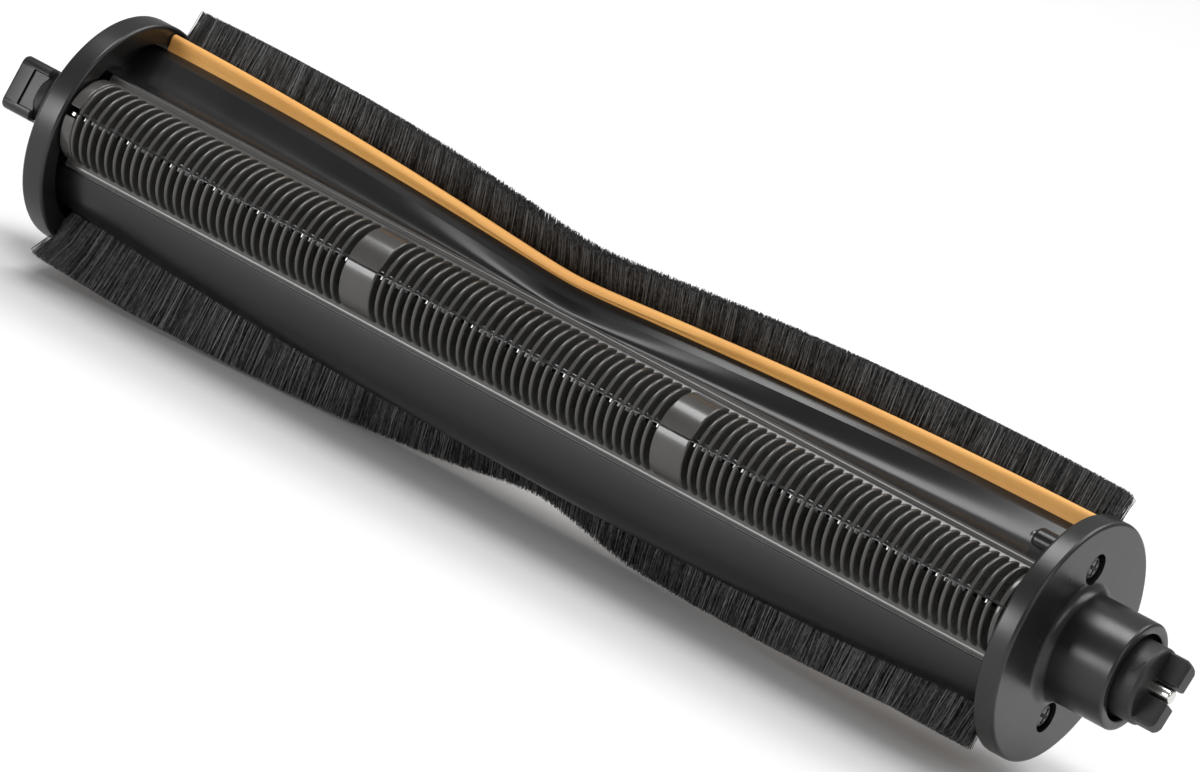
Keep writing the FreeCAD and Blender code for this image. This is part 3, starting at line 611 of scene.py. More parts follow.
@dataclass
class ChevronStrips:
    """A rubber wiper and a row of bristles that follow one chevron."""

    half: Half
    seed: int
    wiper_radius: float = 17.1
    wiper_foot: float = 2.5
    wiper_half_root: float = 4.5
    wiper_half_tip: float = 2.6
    wiper_lean_end: float = 3.0
    wiper_lean_mid: float = 5.0
    wiper_crown: float = 0.8
    wiper_hollow: float = 0.2
    crown_steps: int = 6
    wiper_places: int = 97
    end_gap: float = 0.2
    bristle_radius: float = 22.2
    bristle_offset: float = 10.5
    bristle_half_root: float = 4.9
    bristle_half_tip: float = 4.0
    bristle_lean: float = 4.0
    bristle_dip: float = 1.9
    strip_fill: float = 0.94
    stop: float = 0.3
    hairs: int = 20000
    hair_joints: int = 3
    hair_sides: int = 3
    hair_radius: float = 0.06
    hair_widths: tuple[float, float] = (0.8, 1.2)
    hair_taper: float = 0.7
    place_scatter: float = 0.05
    lean_scatter: float = 0.6
    length_scatter: float = 0.16
    stray_share: float = 0.02
    stray_short: tuple[float, float] = (0.2, 0.9)
    splay_scatter: float = 0.2
    bow_scatter: float = 0.12
    shade_top: float = 0.5
    shade_power: float = 2.2
    flare: float = 0.0
    flare_reach: float = 14.0
    flare_power: float = 1.6
    flare_short: float = 0.3
    short_end: float = 0.0
    short_end_reach: float = 62.0
    short_end_slope: float = 1.3
    short_middle: float = 0.0
    short_middle_reach: float = 11.0

    def wiper_outline(self, x: float) -> list[Point]:
        """Section of the wiper at x, with its edge rounded."""
        angle = ROLLER.wiper_angle(x)
        tip = angle - ROLLER.swept(self.wiper_lean_mid, self.wiper_lean_end, x)
        foot = ROLLER.groove_radius + ROLLER.clear
        rail = ROLLER.rail_radius(x) + ROLLER.clear
        heel = ROLLER.groove_radius + self.wiper_foot
        front = angle - self.wiper_half_root
        back = angle + self.wiper_half_root - ROLLER.strip_gap
        shoulder = self.wiper_radius - self.wiper_crown
        low, high = tip - self.wiper_half_tip, tip + self.wiper_half_tip
        crown = []
        for step in range(self.crown_steps + 1):
            turn = math.pi * step / self.crown_steps
            crown.append(polar(shoulder + self.wiper_crown * math.sin(turn),
                               tip - self.wiper_half_tip * math.cos(turn)))
        front_mid = polar((rail + shoulder) / 2, (front + low) / 2 + self.wiper_hollow)
        back_mid = polar((heel + shoulder) / 2, (back + high) / 2)
        return [polar(foot, front), polar(rail, front), front_mid, *crown, back_mid,
                polar(heel, back), polar(foot, back)]

    def build_wiper(self) -> None:
        """Wiper as one smooth strip between the flanges."""
        draft = MeshDraft()
        first, last = ROLLER.x_drive_in + self.end_gap, ROLLER.x_bearing_in - self.end_gap
        draft.sections(self.wiper_outline, np.linspace(first, last, self.wiper_places))
        node = self.half.node("wiper")
        draft.piece(node + "_rubber", ORANGE_RUBBER, [node], self.half.value, sharp=50.0)

    def hair_lines(self, rng: np.random.Generator) -> np.ndarray:
        """Centre lines of the hairs, in order along the strip.

        Args:
            rng: seeded source of scatter.

        Returns:
            Points as an array of hairs by joints by x, y, z.
        """
        count = self.hairs
        first = ROLLER.x_drive_in + self.end_gap
        last = ROLLER.x_bearing_in - self.end_gap - self.stop
        row = np.arange(count)
        x = first + (last - first) * row / count + rng.normal(0, self.place_scatter, count)
        x = np.clip(x, first, last)
        across = 2 * ((row * GOLDEN_SHARE) % 1.0) - 1
        swing = np.array([ROLLER.sweep(place) for place in x])
        root = np.array([ROLLER.wiper_angle(place) for place in x]) + self.bristle_offset
        lean = self.bristle_lean * (1 - swing) + rng.normal(0, self.lean_scatter, count)
        start = ROLLER.spine_top + ROLLER.clear
        length = self.bristle_radius - self.bristle_dip * (1 - swing) ** 2 - start
        length -= np.abs(rng.normal(0, self.length_scatter, count))
        stray = rng.random(count) < self.stray_share
        length -= np.where(stray, rng.uniform(*self.stray_short, count), 0.0)
        to_left = np.clip(1 - (x - first) / self.flare_reach, 0, 1)
        to_right = np.clip(1 - (last - x) / self.short_end_reach, 0, 1)
        to_middle = np.exp(-((x - ROLLER.x_mid) / self.short_middle_reach) ** 2)
        length -= self.short_end * np.minimum(1.0, to_right * self.short_end_slope)
        length -= self.short_middle * to_middle + self.flare_short * self.flare * to_left
        splay = rng.normal(0, self.splay_scatter, count) - self.flare * to_left ** self.flare_power
        bow = rng.normal(0, self.bow_scatter, count)
        lines = np.zeros((count, self.hair_joints, 3))
        for joint in range(self.hair_joints):
            t = joint / (self.hair_joints - 1)
            spread = self.bristle_half_root + (self.bristle_half_tip - self.bristle_half_root) * t
            angle = np.radians(root - lean * t + across * spread * self.strip_fill)
            radius = start + length * t
            lines[:, joint, 0] = x + splay * t ** 2 + bow * math.sin(math.pi * t)
            lines[:, joint, 1] = -radius * np.cos(angle)
            lines[:, joint, 2] = radius * np.sin(angle)
        return lines

    def hair_piece(self, name: str, lines: np.ndarray, rng: np.random.Generator) -> None:
        """Make tapered threads along centre lines.

        Args:
            name: name of the piece.
            lines: centre lines as hairs by joints by x, y, z.
            rng: seeded source of scatter.
        """
        count, joints, _ = lines.shape
        sides = self.hair_sides
        along = lines[:, -1] - lines[:, 0]
        along /= np.linalg.norm(along, axis=1)[:, None]
        side = np.cross(along, rng.normal(0, 1, along.shape))
        side /= np.linalg.norm(side, axis=1)[:, None]
        other = np.cross(along, side)
        taper = np.linspace(1.0, self.hair_taper, joints)
        width = self.hair_radius * rng.uniform(*self.hair_widths, count)
        rings = np.zeros((count, joints, sides, 3))
        for corner in range(sides):
            turn = 2 * math.pi * corner / sides
            offset = (side * math.cos(turn) + other * math.sin(turn)) * width[:, None]
            rings[:, :, corner] = lines + offset[:, None] * taper[None, :, None]
        per_hair = joints * sides
        base = (np.arange(count) * per_hair)[:, None]
        quads = (base[:, None] + np.array(ring_faces(joints, sides))[None]).reshape(-1, 4)
        tips = base + np.arange((joints - 1) * sides, per_hair)[None]
        draft = MeshDraft()
        draft.add(rings.reshape(-1, 3), quads.tolist() + tips.tolist())
        piece = draft.piece(name, NYLON, [self.half.node("bristles")], self.half.value,
                            sharp=80.0, weighed=False)
        shade = np.repeat(self.shade_top * rng.random(count) ** self.shade_power, per_hair)
        attribute = piece.data.attributes.new("hair_shade", "FLOAT", "POINT")
        attribute.data.foreach_set("value", shade.astype(np.float32))

    def build_bristles(self) -> None:
        """Row of single hairs, one piece from each flange to the middle."""
        rng = np.random.default_rng(self.seed)
        lines = self.hair_lines(rng)
        middle = self.hairs // 2
        node = self.half.node("bristles")
        self.hair_piece(node + "_hairs_drive_side", lines[:middle], rng)
        self.hair_piece(node + "_hairs_bearing_side", lines[middle:], rng)

    def build(self) -> None:
        """Build and dress both strips and the spine under the bristles."""
        self.build_wiper()
        self.build_bristles()
        dress_node(self.half.node("bristle_spine"), STRIP_BLACK)


@dataclass
class CoreShell:
    """One core half with the trough by the comb, and the barrelled panel behind the bristles."""

    half: Half
    places: int = 73
    fairing_radius: float = 15.7
    fairing_taper: float = 2.3
    fairing_thick: float = 2.0
    fairing_fall: float = 2.7
    face_steps: int = 18
    seat_steps: int = 8
    edge_drop: float = 0.5
    edge_bevel: Point = (0.15, 0.5)
    edge_land: float = 1.8
    trough_end: float = 2.2
    trough_mid: float = 0.3
    trough_steps: int = 15
    rail_span: float = 7.0
    rail_fall: float = 0.8
    groove_front: float = -5.0
    groove_back: float = 16.5
    boss_radius: float = 1.8
    boss_length: float = 6.4
    boss_round: float = 0.6
    boss_steps: int = 40
    pocket_depth: float = 2.4
    spigot_well: float = 5.1
    collar_well: float = 7.1
    collar_room: float = 2.2
    cam_well: float = 5.6
    cam_well_room: float = 0.8
    well_steps: int = 64
    well_beyond: float = 1.0

    @property
    def left(self) -> float:
        """Drive end of the core half."""
        return ROLLER.x_drive_in - self.pocket_depth

    @property
    def right(self) -> float:
        """Bearing end of the core half."""
        return ROLLER.x_bearing_in - ROLLER.clear

    def wells(self) -> list[bpy.types.Object]:
        """Cutters for the wells of the drive spigot and of the cam."""
        spigot = ROLLER.spigot_end + ROLLER.clear
        collar = ROLLER.spigot_end + ROLLER.clear - self.collar_room
        cam, hub = ROLLER.shank_end - self.cam_well_room, ROLLER.hub_back - ROLLER.clear
        mouth, mouth_right = self.left - self.well_beyond, self.right + self.well_beyond
        profiles = ([(mouth, 0.0), (mouth, self.spigot_well), (collar, self.spigot_well),
                     (collar, self.collar_well), (spigot, self.collar_well), (spigot, 0.0)],
                    [(cam, 0.0), (cam, self.cam_well), (hub, self.cam_well),
                     (hub, self.collar_well), (mouth_right, self.collar_well),
                     (mouth_right, 0.0)])
        cutters = []
        for number, profile in enumerate(profiles):
            cutter = MeshDraft()
            cutter.turned(profile, self.well_steps)
            cutters.append(cutter.solid(f"well_cutter_{number}"))
        return cutters

    def panel_face(self, x: float, depth: float, lift: float, steps: int) -> list[Point]:
        """Section points of the panel at a depth below its outer face.

        Args:
            x: place along the axis.
            depth: depth below the outer face.
            lift: height of the hem above the comb's brim.
            steps: chords from the edge to the hem.

        Returns:
            Points from the strip's root down to the comb's brim.
        """
        hem = (ROLLER.brim_back - depth, ROLLER.brim_top + lift)
        edge = ROLLER.wiper_angle(x) + self.groove_back + ROLLER.strip_gap
        place = (x - ROLLER.x_mid) / (ROLLER.span / 2)
        radius = self.fairing_radius - self.fairing_taper * place ** 2 - depth
        points = []
        for step in range(steps + 1):
            share = step / steps
            here = radius - (radius - math.hypot(*hem)) * share ** self.fairing_fall
            points.append(polar(here, edge + (angle_of(hem) - edge) * share))
        return points

    def panel_outline(self, x: float) -> list[Point]:
        """Section of the panel with a softened edge along the bristles."""
        lift = 2 * ROLLER.clear
        outer = self.panel_face(x, 0.0, lift, self.face_steps)
        inner = self.panel_face(x, self.fairing_thick, lift, self.seat_steps)
        edge, radius = angle_of(outer[0]), math.hypot(*outer[0])
        soft = [polar(radius - self.edge_drop, edge),
                polar(radius - self.edge_bevel[0], edge + self.edge_bevel[1]),
                polar(radius, edge + self.edge_land)]
        return soft + outer[1:] + inner[::-1]

    def core_outline(self, x: float) -> list[Point]:
        """Section of the core with a smooth trough and a rail beside the wiper."""
        clear = ROLLER.clear
        angle = ROLLER.wiper_angle(x)
        rail = angle + self.groove_front
        shore = rail - self.rail_span
        shore_radius = ROLLER.rail_radius(x) - self.rail_fall
        step_angle = angle + self.groove_back
        lip = (-(ROLLER.brim_back - clear), ROLLER.brim_top + clear)
        lip_radius, lip_angle = math.hypot(*lip), angle_of(lip)
        depth = ROLLER.swept(self.trough_mid, self.trough_end, x)
        trough = []
        for step in range(1, self.trough_steps):
            share = step / self.trough_steps
            hollow = depth * 4 * share * (1 - share)
            radius = lip_radius + (shore_radius - lip_radius) * share - hollow
            trough.append(polar(radius, lip_angle + (shore - lip_angle) * share))
        seat = self.panel_face(x, self.fairing_thick + clear, clear, self.seat_steps)
        back, top = ROLLER.neck_back - clear, ROLLER.neck_top + clear
        out, pocket = ROLLER.brim_back - clear, ROLLER.blade_pocket
        return [(-back, pocket), (-back, top), (-out, top), lip, *trough,
                polar(shore_radius, shore), polar(ROLLER.rail_radius(x), rail),
                polar(ROLLER.groove_radius, rail), polar(ROLLER.groove_radius, step_angle),
                polar(math.hypot(*seat[0]), step_angle), *seat,
                (out, ROLLER.brim_top + clear), (out, top), (back, top), (back, pocket)]

    def build(self) -> None:
        """Build and dress the core half, its screw boss and its panel."""
        places = np.linspace(self.left, self.right, self.places)
        core = MeshDraft()
        core.sections(self.core_outline, places)
        node = self.half.node("core")
        core.piece(node + "_moulding", TROUGH_BLACK, [node], self.half.value, sharp=12.0,
                   cutters=self.wells())
        boss = MeshDraft()
        start, soft = self.right - self.boss_length, self.boss_round
        tip = rounded_corner((start + soft, self.boss_radius - soft), soft, 180, 90)
        boss.turned([(start, 0.0), *tip, (self.right, self.boss_radius), (self.right, 0.0)],
                    self.boss_steps, polar(ROLLER.screw_circle, ROLLER.screw_angle))
        boss.piece(self.half.node("screw_boss"), TROUGH_BLACK, [node], self.half.value,
                   sharp=24.0)
        panel = MeshDraft()
        panel.sections(self.panel_outline, places)
        node = self.half.node("fairing")
        panel.piece(node + "_panel", PANEL_BLACK, [node], self.half.value, sharp=45.0)


@dataclass
class CombJaw:
    """One slotted comb jaw with rounded ribs, a brim and a neck in the core."""

    name: str
    turn: float
    mirrored: bool
    slot_pitch: float = 1.64
    slot_width: float = 1.0
    slot_depth: float = 2.3
    seam: float = 0.12
    seam_shift: float = 0.09
    notch_length: float = 2.0
    notch_half: float = 0.8
    blade_front: float = 16.85
    rib_soft: float = 0.3
    rib_fill: float = 0.46
    lip_rise: float = 0.5
    lip_bevel: float = 0.16
    foot_sink: float = 0.05
    floor_sink: float = 0.1
    brim_soft: float = 0.6
    brim_steps: int = 6
    arc_steps: int = 14
    round_steps: int = 4

    @property
    def floor(self) -> float:
        """Reach of the slots' floor at the seam."""
        return ROLLER.comb_centre + ROLLER.comb_radius - self.slot_depth

    def floor_at(self, height: float) -> float:
        """Reach of the slots' floor at a height above the seam."""
        return self.floor - (self.floor - ROLLER.comb_centre) / ROLLER.comb_radius * height

    def slots(self) -> list[float]:
        """Where each slot starts along the axis, with one more beside the bearing flange."""
        rib = self.slot_pitch - self.slot_width
        count = int((ROLLER.bank + rib) / self.slot_pitch)
        inset = (ROLLER.bank - count * self.slot_pitch + rib) / 2
        places = [start + inset + slot * self.slot_pitch
                  for start in ROLLER.bank_starts() for slot in range(count)]
        return places + [places[-1] + self.slot_pitch]

    def ribs(self) -> list[Place]:
        """Stretches between the slots as start, end and half opening at the crest."""
        start = ROLLER.comb_start
        shift = -self.seam_shift if self.mirrored else self.seam_shift
        opening = self.seam / 2 + shift
        stretches = [(start, start + self.notch_length, self.notch_half)]
        here = start + self.notch_length
        for slot in self.slots():
            stretches.append((here, slot, opening))
            here = slot + self.slot_width
        stretches.append((here, start + ROLLER.comb_length, opening))
        return stretches

    def rib_rows(self, first: float, last: float) -> list[Point]:
        """Places along a rib and how far its face is drawn in there, round at both ends."""
        soft = min(self.rib_soft, (last - first) * self.rib_fill)
        turns = [math.pi / 2 * step / self.round_steps for step in range(self.round_steps + 1)]
        bend = [(soft * (1 - math.cos(turn)), soft * (1 - math.sin(turn))) for turn in turns]
        return ([(first + along, inset) for along, inset in bend]
                + [(last - along, inset) for along, inset in bend[::-1]])

    def rib_ring(self, x: float, inset: float, opening: float) -> list[Place]:
        """Outline of a rib at x, drawn in by an inset."""
        centre = ROLLER.comb_centre
        radius = ROLLER.comb_radius - inset
        low = opening + inset * self.lip_rise
        first = math.asin((low + self.lip_bevel) / radius)
        ring = [(x, -(centre + radius - self.lip_bevel), low)]
        for step in range(self.arc_steps + 1):
            turn = first + (math.pi / 2 - first) * step / self.arc_steps
            ring.append((x, -(centre + radius * math.cos(turn)), radius * math.sin(turn)))
        foot = max(opening, ROLLER.blade_pocket)
        return ring + [(x, -(centre - self.foot_sink), radius),
                       (x, -(self.floor_at(foot) - self.floor_sink), foot),
                       (x, -self.blade_front, foot)]

    def build(self) -> None:
        """Build and dress the jaw."""
        draft = MeshDraft()
        pocket, edge = ROLLER.blade_pocket, self.brim_soft
        brim = rounded_corner((-(ROLLER.comb_centre - edge), ROLLER.brim_top - edge), edge,
                              180, 90, self.brim_steps)
        base = [(-self.floor_at(pocket), pocket), (-ROLLER.comb_centre, ROLLER.comb_radius),
                *brim, (-ROLLER.brim_back, ROLLER.brim_top),
                (-ROLLER.brim_back, ROLLER.neck_top), (-ROLLER.neck_back, ROLLER.neck_top),
                (-ROLLER.neck_back, pocket)]
        start = ROLLER.comb_start
        draft.sections(lambda x: base, [start, start + ROLLER.comb_length])
        for first, last, opening in self.ribs():
            draft.loft([self.rib_ring(x, inset, opening)
                        for x, inset in self.rib_rows(first, last)])
        if self.mirrored:
            draft.mirror()
        draft.piece(self.name + "_ribs", COMB_GREY, [self.name], self.turn, sharp=38.0)


@dataclass
class DriveCap:
    """Drive end: flange, flared boss and square stub."""

    turn_steps: int = 144
    boss_radius: float = 8.0
    boss_fillet: float = 0.8
    neck_radius: float = 4.6
    neck_bevel: float = 0.4
    neck_sunk: float = 0.5
    flare_run: float = 0.6
    flare_steps: int = 13
    pocket_radius: float = 15.0
    pocket_depth: float = 2.5
    spigot_radius: float = 5.0
    collar_radius: float = 7.0
    collar_thick: float = 2.0
    block_width: float = 8.6
    block_end: float = 0.45
    block_end_mid: float = 0.13
    block_sunk: float = 0.3
    corner: float = 1.2
    corner_steps: int = 5
    recess: float = 0.4
    recess_run: float = 0.12
    recess_edge: float = 0.35
    recess_land: float = 0.2

    def block_ring(self, x: float, shrink: float, sunk: float) -> list[Place]:
        """Rounded square of the stub at x, with its flats sunk by a depth."""
        half = self.block_width / 2 - shrink
        flat = half - self.corner
        side = [(half - sunk, -flat + self.recess_edge), (half - sunk, flat - self.recess_edge),
                (half, flat - self.recess_land),
                *rounded_corner((flat, flat), self.corner, 0, 90, self.corner_steps),
                (flat - self.recess_land, half)]
        ring = []
        for quarter in range(4):
            turn = math.radians(90 * quarter)
            ring += [(x, u * math.cos(turn) - v * math.sin(turn),
                      u * math.sin(turn) + v * math.cos(turn)) for u, v in side]
        return ring

    def flare(self) -> list[Point]:
        """Smooth run of the neck from the stub to the boss."""
        neck, boss = self.neck_radius, self.boss_radius
        start = ROLLER.x_stub_neck
        end = start + (ROLLER.x_drive_out - start) / 2 + self.flare_run
        return [(start + (end - start) * share, neck + (boss - neck) * share ** 2 * (3 - 2 * share))
                for share in np.linspace(0.0, 1.0, self.flare_steps).tolist()]

    def build(self) -> None:
        """Build and dress the drive cap."""
        draft = MeshDraft()
        out, inner = ROLLER.x_drive_out, ROLLER.x_drive_in
        round_foot = self.boss_fillet
        neck, spigot = ROLLER.x_stub_neck, ROLLER.spigot_end
        floor, collar = inner - self.pocket_depth, spigot - self.collar_thick
        neck_end = neck - self.neck_sunk
        draft.turned([(neck_end, 0.0), (neck_end, self.neck_radius - self.neck_bevel),
                      *self.flare(),
                      *rounded_corner((out - round_foot, self.boss_radius + round_foot),
                                      round_foot, 270, 360),
                      *flange_rim(out, inner), (inner, self.pocket_radius),
                      (floor, self.pocket_radius), (floor, self.spigot_radius),
                      (collar, self.spigot_radius),
                      (collar, self.collar_radius), (spigot, self.collar_radius), (spigot, 0.0)],
                     self.turn_steps)
        start, stop = ROLLER.x_stub_end, neck + self.block_sunk
        step = start + (neck - start) / 2
        stations = ((start, self.block_end, 0.0),
                    (start + self.block_end_mid, self.block_end_mid, 0.0),
                    (start + self.block_end, 0.0, 0.0), (step, 0.0, 0.0),
                    (step + self.recess_run, 0.0, self.recess),
                    (stop - self.block_sunk, 0.0, self.recess),
                    (stop, self.block_sunk, self.recess))
        draft.loft([self.block_ring(*station) for station in stations])
        draft.piece("drive_cap_moulding", SATIN_BLACK, ["drive_cap"])


@dataclass
class BearingCap:
    """Bearing end: flange with two screw seats and a hollow hub."""

    turn_steps: int = 144
    hub_radius: float = 8.0
    hub_fillet: float = 1.5
    hub_fillet_steps: int = 7
    hub_round: float = 0.45
    mouth: float = 6.5
    mouth_round: float = 0.25
    mouth_steps: int = 3
    bush_in: float = 1.5
    back_radius: float = 7.0
    back_length: float = 2.5
    bore: float = 5.0
    seat_radius: float = 2.3
    seat_steps: int = 48
    seat_beyond: float = 1.0

    def seats(self) -> list[bpy.types.Object]:
        """Cutters for the two screw seats."""
        out = ROLLER.x_bearing_out
        seat, top = out - ROLLER.screw_seat, out + self.seat_beyond
        cutters = []
        for half in Half:
            cutter = MeshDraft()
            cutter.turned([(seat, 0.0), (seat, self.seat_radius), (top, self.seat_radius),
                           (top, 0.0)], self.seat_steps,
                          polar(ROLLER.screw_circle, ROLLER.screw_angle + half.value))
            cutters.append(cutter.solid(half.node("seat_cutter")))
        return cutters

    def build(self) -> None:
        """Build and dress the bearing cap."""
        draft = MeshDraft()
        inner, out, end = ROLLER.x_bearing_in, ROLLER.x_bearing_out, ROLLER.x_hub_end
        fillet, hub, lip = self.hub_fillet, self.hub_round, self.mouth_round
        back, bush = inner - self.back_length, out + self.bush_in
        draft.turned([(back, self.bore), (back, self.back_radius), (inner, self.back_radius),
                      *flange_rim(inner, out),
                      *rounded_corner((out + fillet, self.hub_radius + fillet), fillet, 180, 270,
                                      self.hub_fillet_steps),
                      *rounded_corner((end - hub, self.hub_radius - hub), hub, 90, 0),
                      *rounded_corner((end - lip, self.mouth + lip), lip, 0, -90,
                                      self.mouth_steps),
                      (bush, self.mouth), (bush, self.bore), (back, self.bore)],
                     self.turn_steps)
        draft.piece("bearing_cap_moulding", SATIN_BLACK, ["bearing_cap"], cutters=self.seats())


@dataclass
class CapScrew:
    """Small cross-head screw in the bearing flange."""

    half: Half
    turn_steps: int = 40
    radius: float = 1.1
    length: float = 8.0
    head: float = 2.0
    dome: tuple[Point, ...] = ((0.35, 1.0), (0.65, 0.94), (0.95, 0.75), (1.1, 0.4), (1.1, 0.0))
    cross_width: float = 0.62
    cross_reach: float = 1.4
    cross_depth: float = 0.8
    cross_taper: float = 0.6
    cross_beyond: float = 0.2

    def cross(self, top: float, at: Point) -> list[bpy.types.Object]:
        """Cutters for the cross in the head.

        Args:
            top: place of the head's top along the axis.
            at: (y, z) of the screw's own axis.

        Returns:
            One tapered cutter for each arm.
        """
        reach, thin = self.cross_reach, self.cross_width / 2
        cutters = []
        for number, (wide, tall) in enumerate(((reach, thin), (thin, reach))):
            plan = ((-wide, -tall), (wide, -tall), (wide, tall), (-wide, tall))
            levels = ((top - self.cross_depth, self.cross_taper), (top + self.cross_beyond, 1.0))
            cutter = MeshDraft()
            cutter.loft([[(x, at[0] + y * share, at[1] + z * share) for y, z in plan]
                         for x, share in levels])
            cutters.append(cutter.solid(f"cross_cutter_{number}", self.half.value))
        return cutters

    def build(self) -> None:
        """Build and dress the screw."""
        seat = ROLLER.x_bearing_out - ROLLER.screw_seat
        tip = ROLLER.x_bearing_in - self.length
        at = polar(ROLLER.screw_circle, ROLLER.screw_angle)
        dome = [(seat + height, self.head * share) for height, share in self.dome]
        draft = MeshDraft()
        draft.turned([(tip, 0.0), (tip + self.radius, self.radius), (seat, self.radius),
                      (seat, self.head), *dome], self.turn_steps, at)
        node = self.half.node("cap_screw")
        draft.piece(node + "_head", BLACKED_STEEL, [node], self.half.value, sharp=40.0,
                    cutters=self.cross(dome[-1][0], at))


@dataclass
class EndKey:
    """Stationary key: head in the hub's mouth, two dogs, a steel pin and an arrow mark."""

    key_turn: float = -10.0
    turn_steps: int = 96
    head_radius: float = 5.7
    head_back: float = 93.35
    head_round: float = 0.6
    shank_radius: float = 3.0
    clip_neck: float = 2.5
    clip_seat: tuple[float, float] = (87.15, 87.85)
    bore: float = 1.125
    dog_reach: float = 5.3
    dog_gap: float = 2.5
    dog_thick: float = 3.0
    dog_sunk: float = 1.0
    dog_soft: float = 0.35
    dog_soft_inner: float = 0.2
    dog_steps: tuple[int, int] = (3, 2)
    dog_ends: tuple[Place, ...] = ((0.8, 0.0, 0.0), (0.3, 0.08, 0.35), (0.0, 0.3, 0.8))
    dog_gap_share: float = 0.4
    dog_side_share: float = 0.7
    pin_radius: float = 1.1
    pin_round: float = 0.35
    pin_short: float = 0.5
    pin_steps: int = 40
    mark_section: tuple[Point, ...] = ((-0.16, -0.2), (-0.1, 0.07), (0.1, 0.07), (0.16, -0.2))
    mark_point: Point = (1.65, -4.0)
    mark_tails: tuple[Point, ...] = ((2.4, 17.0), (0.9, 17.0))
    mark_rings: int = 5

    def dog(self, side: float) -> list[list[Place]]:
        """Rings of one dog along the axis, with softened edges at its end."""
        soft, small = self.dog_soft, self.dog_soft_inner
        stations = [(ROLLER.x_key_end - self.dog_sunk, 0.0, 0.0)]
        stations += [(ROLLER.x_dog_end - back, shrink, slope)
                     for back, shrink, slope in self.dog_ends]
        rings = []
        for x, shrink, slope in stations:
            low = self.dog_gap / 2 + shrink * self.dog_gap_share
            high = self.dog_reach - slope
            wide = self.dog_thick / 2 - shrink * self.dog_side_share
            outer, inner = self.dog_steps
            ring = [*rounded_corner((high - soft, wide - soft), soft, 0, 90, outer),
                    *rounded_corner((low + small, wide - small), small, 90, 180, inner),
                    *rounded_corner((low + small, -wide + small), small, 180, 270, inner),
                    *rounded_corner((high - soft, -wide + soft), soft, 270, 360, outer)]
            rings.append([(x, across, side * height) for height, across in ring])
        return rings

    def mark_bar(self, tail: Point) -> list[list[Place]]:
        """Rings of one raised bar of the arrow mark, from its point to a tail."""
        rings = []
        for share in np.linspace(0.0, 1.0, self.mark_rings).tolist():
            back, angle = (start + (end - start) * share
                           for start, end in zip(self.mark_point, tail))
            rings.append([(ROLLER.x_key_end - back + across,
                           *polar(self.head_radius + height, angle))
                          for across, height in self.mark_section])
        return rings

    def build_pin(self) -> None:
        """Bright pin through the key."""
        pin = MeshDraft()
        tail, tip = ROLLER.shank_end + ROLLER.clear, ROLLER.x_dog_end - self.pin_short
        radius, soft = self.pin_radius, self.pin_round
        pin.turned([(tail, 0.0), (tail, radius),
                    *rounded_corner((tip - soft, radius - soft), soft, 90, 0), (tip, 0.0)],
                   self.pin_steps)
        pin.piece("axle_pin_bright", BRIGHT_STEEL, ["axle_pin"], self.key_turn, sharp=40.0,
                  body="end_key")

    def build(self) -> None:
        """Build and dress the key, its mark and its pin."""
        draft = MeshDraft()
        end, tail, soft = ROLLER.x_key_end, ROLLER.shank_end, self.head_round
        back, front = self.clip_seat
        shank, head = self.shank_radius, self.head_radius
        draft.turned([(tail, self.bore), (tail, shank), (back, shank), (back, self.clip_neck),
                      (front, self.clip_neck), (front, shank), (self.head_back, shank),
                      (self.head_back, head),
                      *rounded_corner((end - soft, head - soft), soft, 90, 0),
                      (end, self.bore), (tail, self.bore)], self.turn_steps)
        for side in (1.0, -1.0):
            draft.loft(self.dog(side))
        for mark_tail in self.mark_tails:
            draft.loft(self.mark_bar(mark_tail))
        draft.piece("end_key_moulding", KEY_BLACK, ["end_key"], self.key_turn, sharp=40.0,
                    body="end_key")
        self.build_pin()
        dress_node("cam_drum", NATURAL_BUSH)
        dress_node("retaining_clip", BRIGHT_STEEL)


@dataclass
class Cutter:
    """Hair cutter behind the comb: dressed solids, and points on the blade's teeth that carry
    painted glints.
    """

    blade_nodes: tuple[str, ...] = ("moving_blade", "backing_plate")
    pin_nodes: tuple[str, ...] = ("guide_pin_1", "guide_pin_2", "guide_pin_3")
    tooth_pitch: float = 1.37
    point_foot: float = 15.6
    point_tip: float = 16.75
    foot_half: float = 0.16
    tip_half: float = 0.08
    under: float = -0.5
    over: float = -0.03

    def build_points(self) -> None:
        """Points on the teeth of both edges of the blade, coloured near white as painted glints."""
        draft = MeshDraft()
        count = int(ROLLER.bank / self.tooth_pitch)
        plan = [(-self.foot_half, self.point_foot), (self.foot_half, self.point_foot),
                (self.tip_half, self.point_tip), (-self.tip_half, self.point_tip)]
        for start in ROLLER.bank_starts():
            first = start + (ROLLER.bank - count * self.tooth_pitch) / 2
            for number in range(count):
                x = first + (number + 0.5) * self.tooth_pitch
                for side in (-1.0, 1.0):
                    corners = plan if side > 0 else plan[::-1]
                    draft.loft([[(x + along, side * reach, z) for along, reach in corners]
                                for z in (self.under, self.over)])
        draft.piece("moving_blade_points", BLADE_PAINTED_SHADE_AND_GLINTS, body="moving_blade")

    def build(self) -> None:
        """Build the blade's points, and dress the cutter's steel and the bush."""
        self.build_points()
        # The blade and backing plate take the steel with painted shade, and painted glints at the
        # points.
        for node in self.blade_nodes:
            dress_node(node, BLADE_PAINTED_SHADE_AND_GLINTS)
        for node in self.pin_nodes:
            dress_node(node, BRIGHT_STEEL)
        dress_node("axle_bush", NATURAL_BUSH)


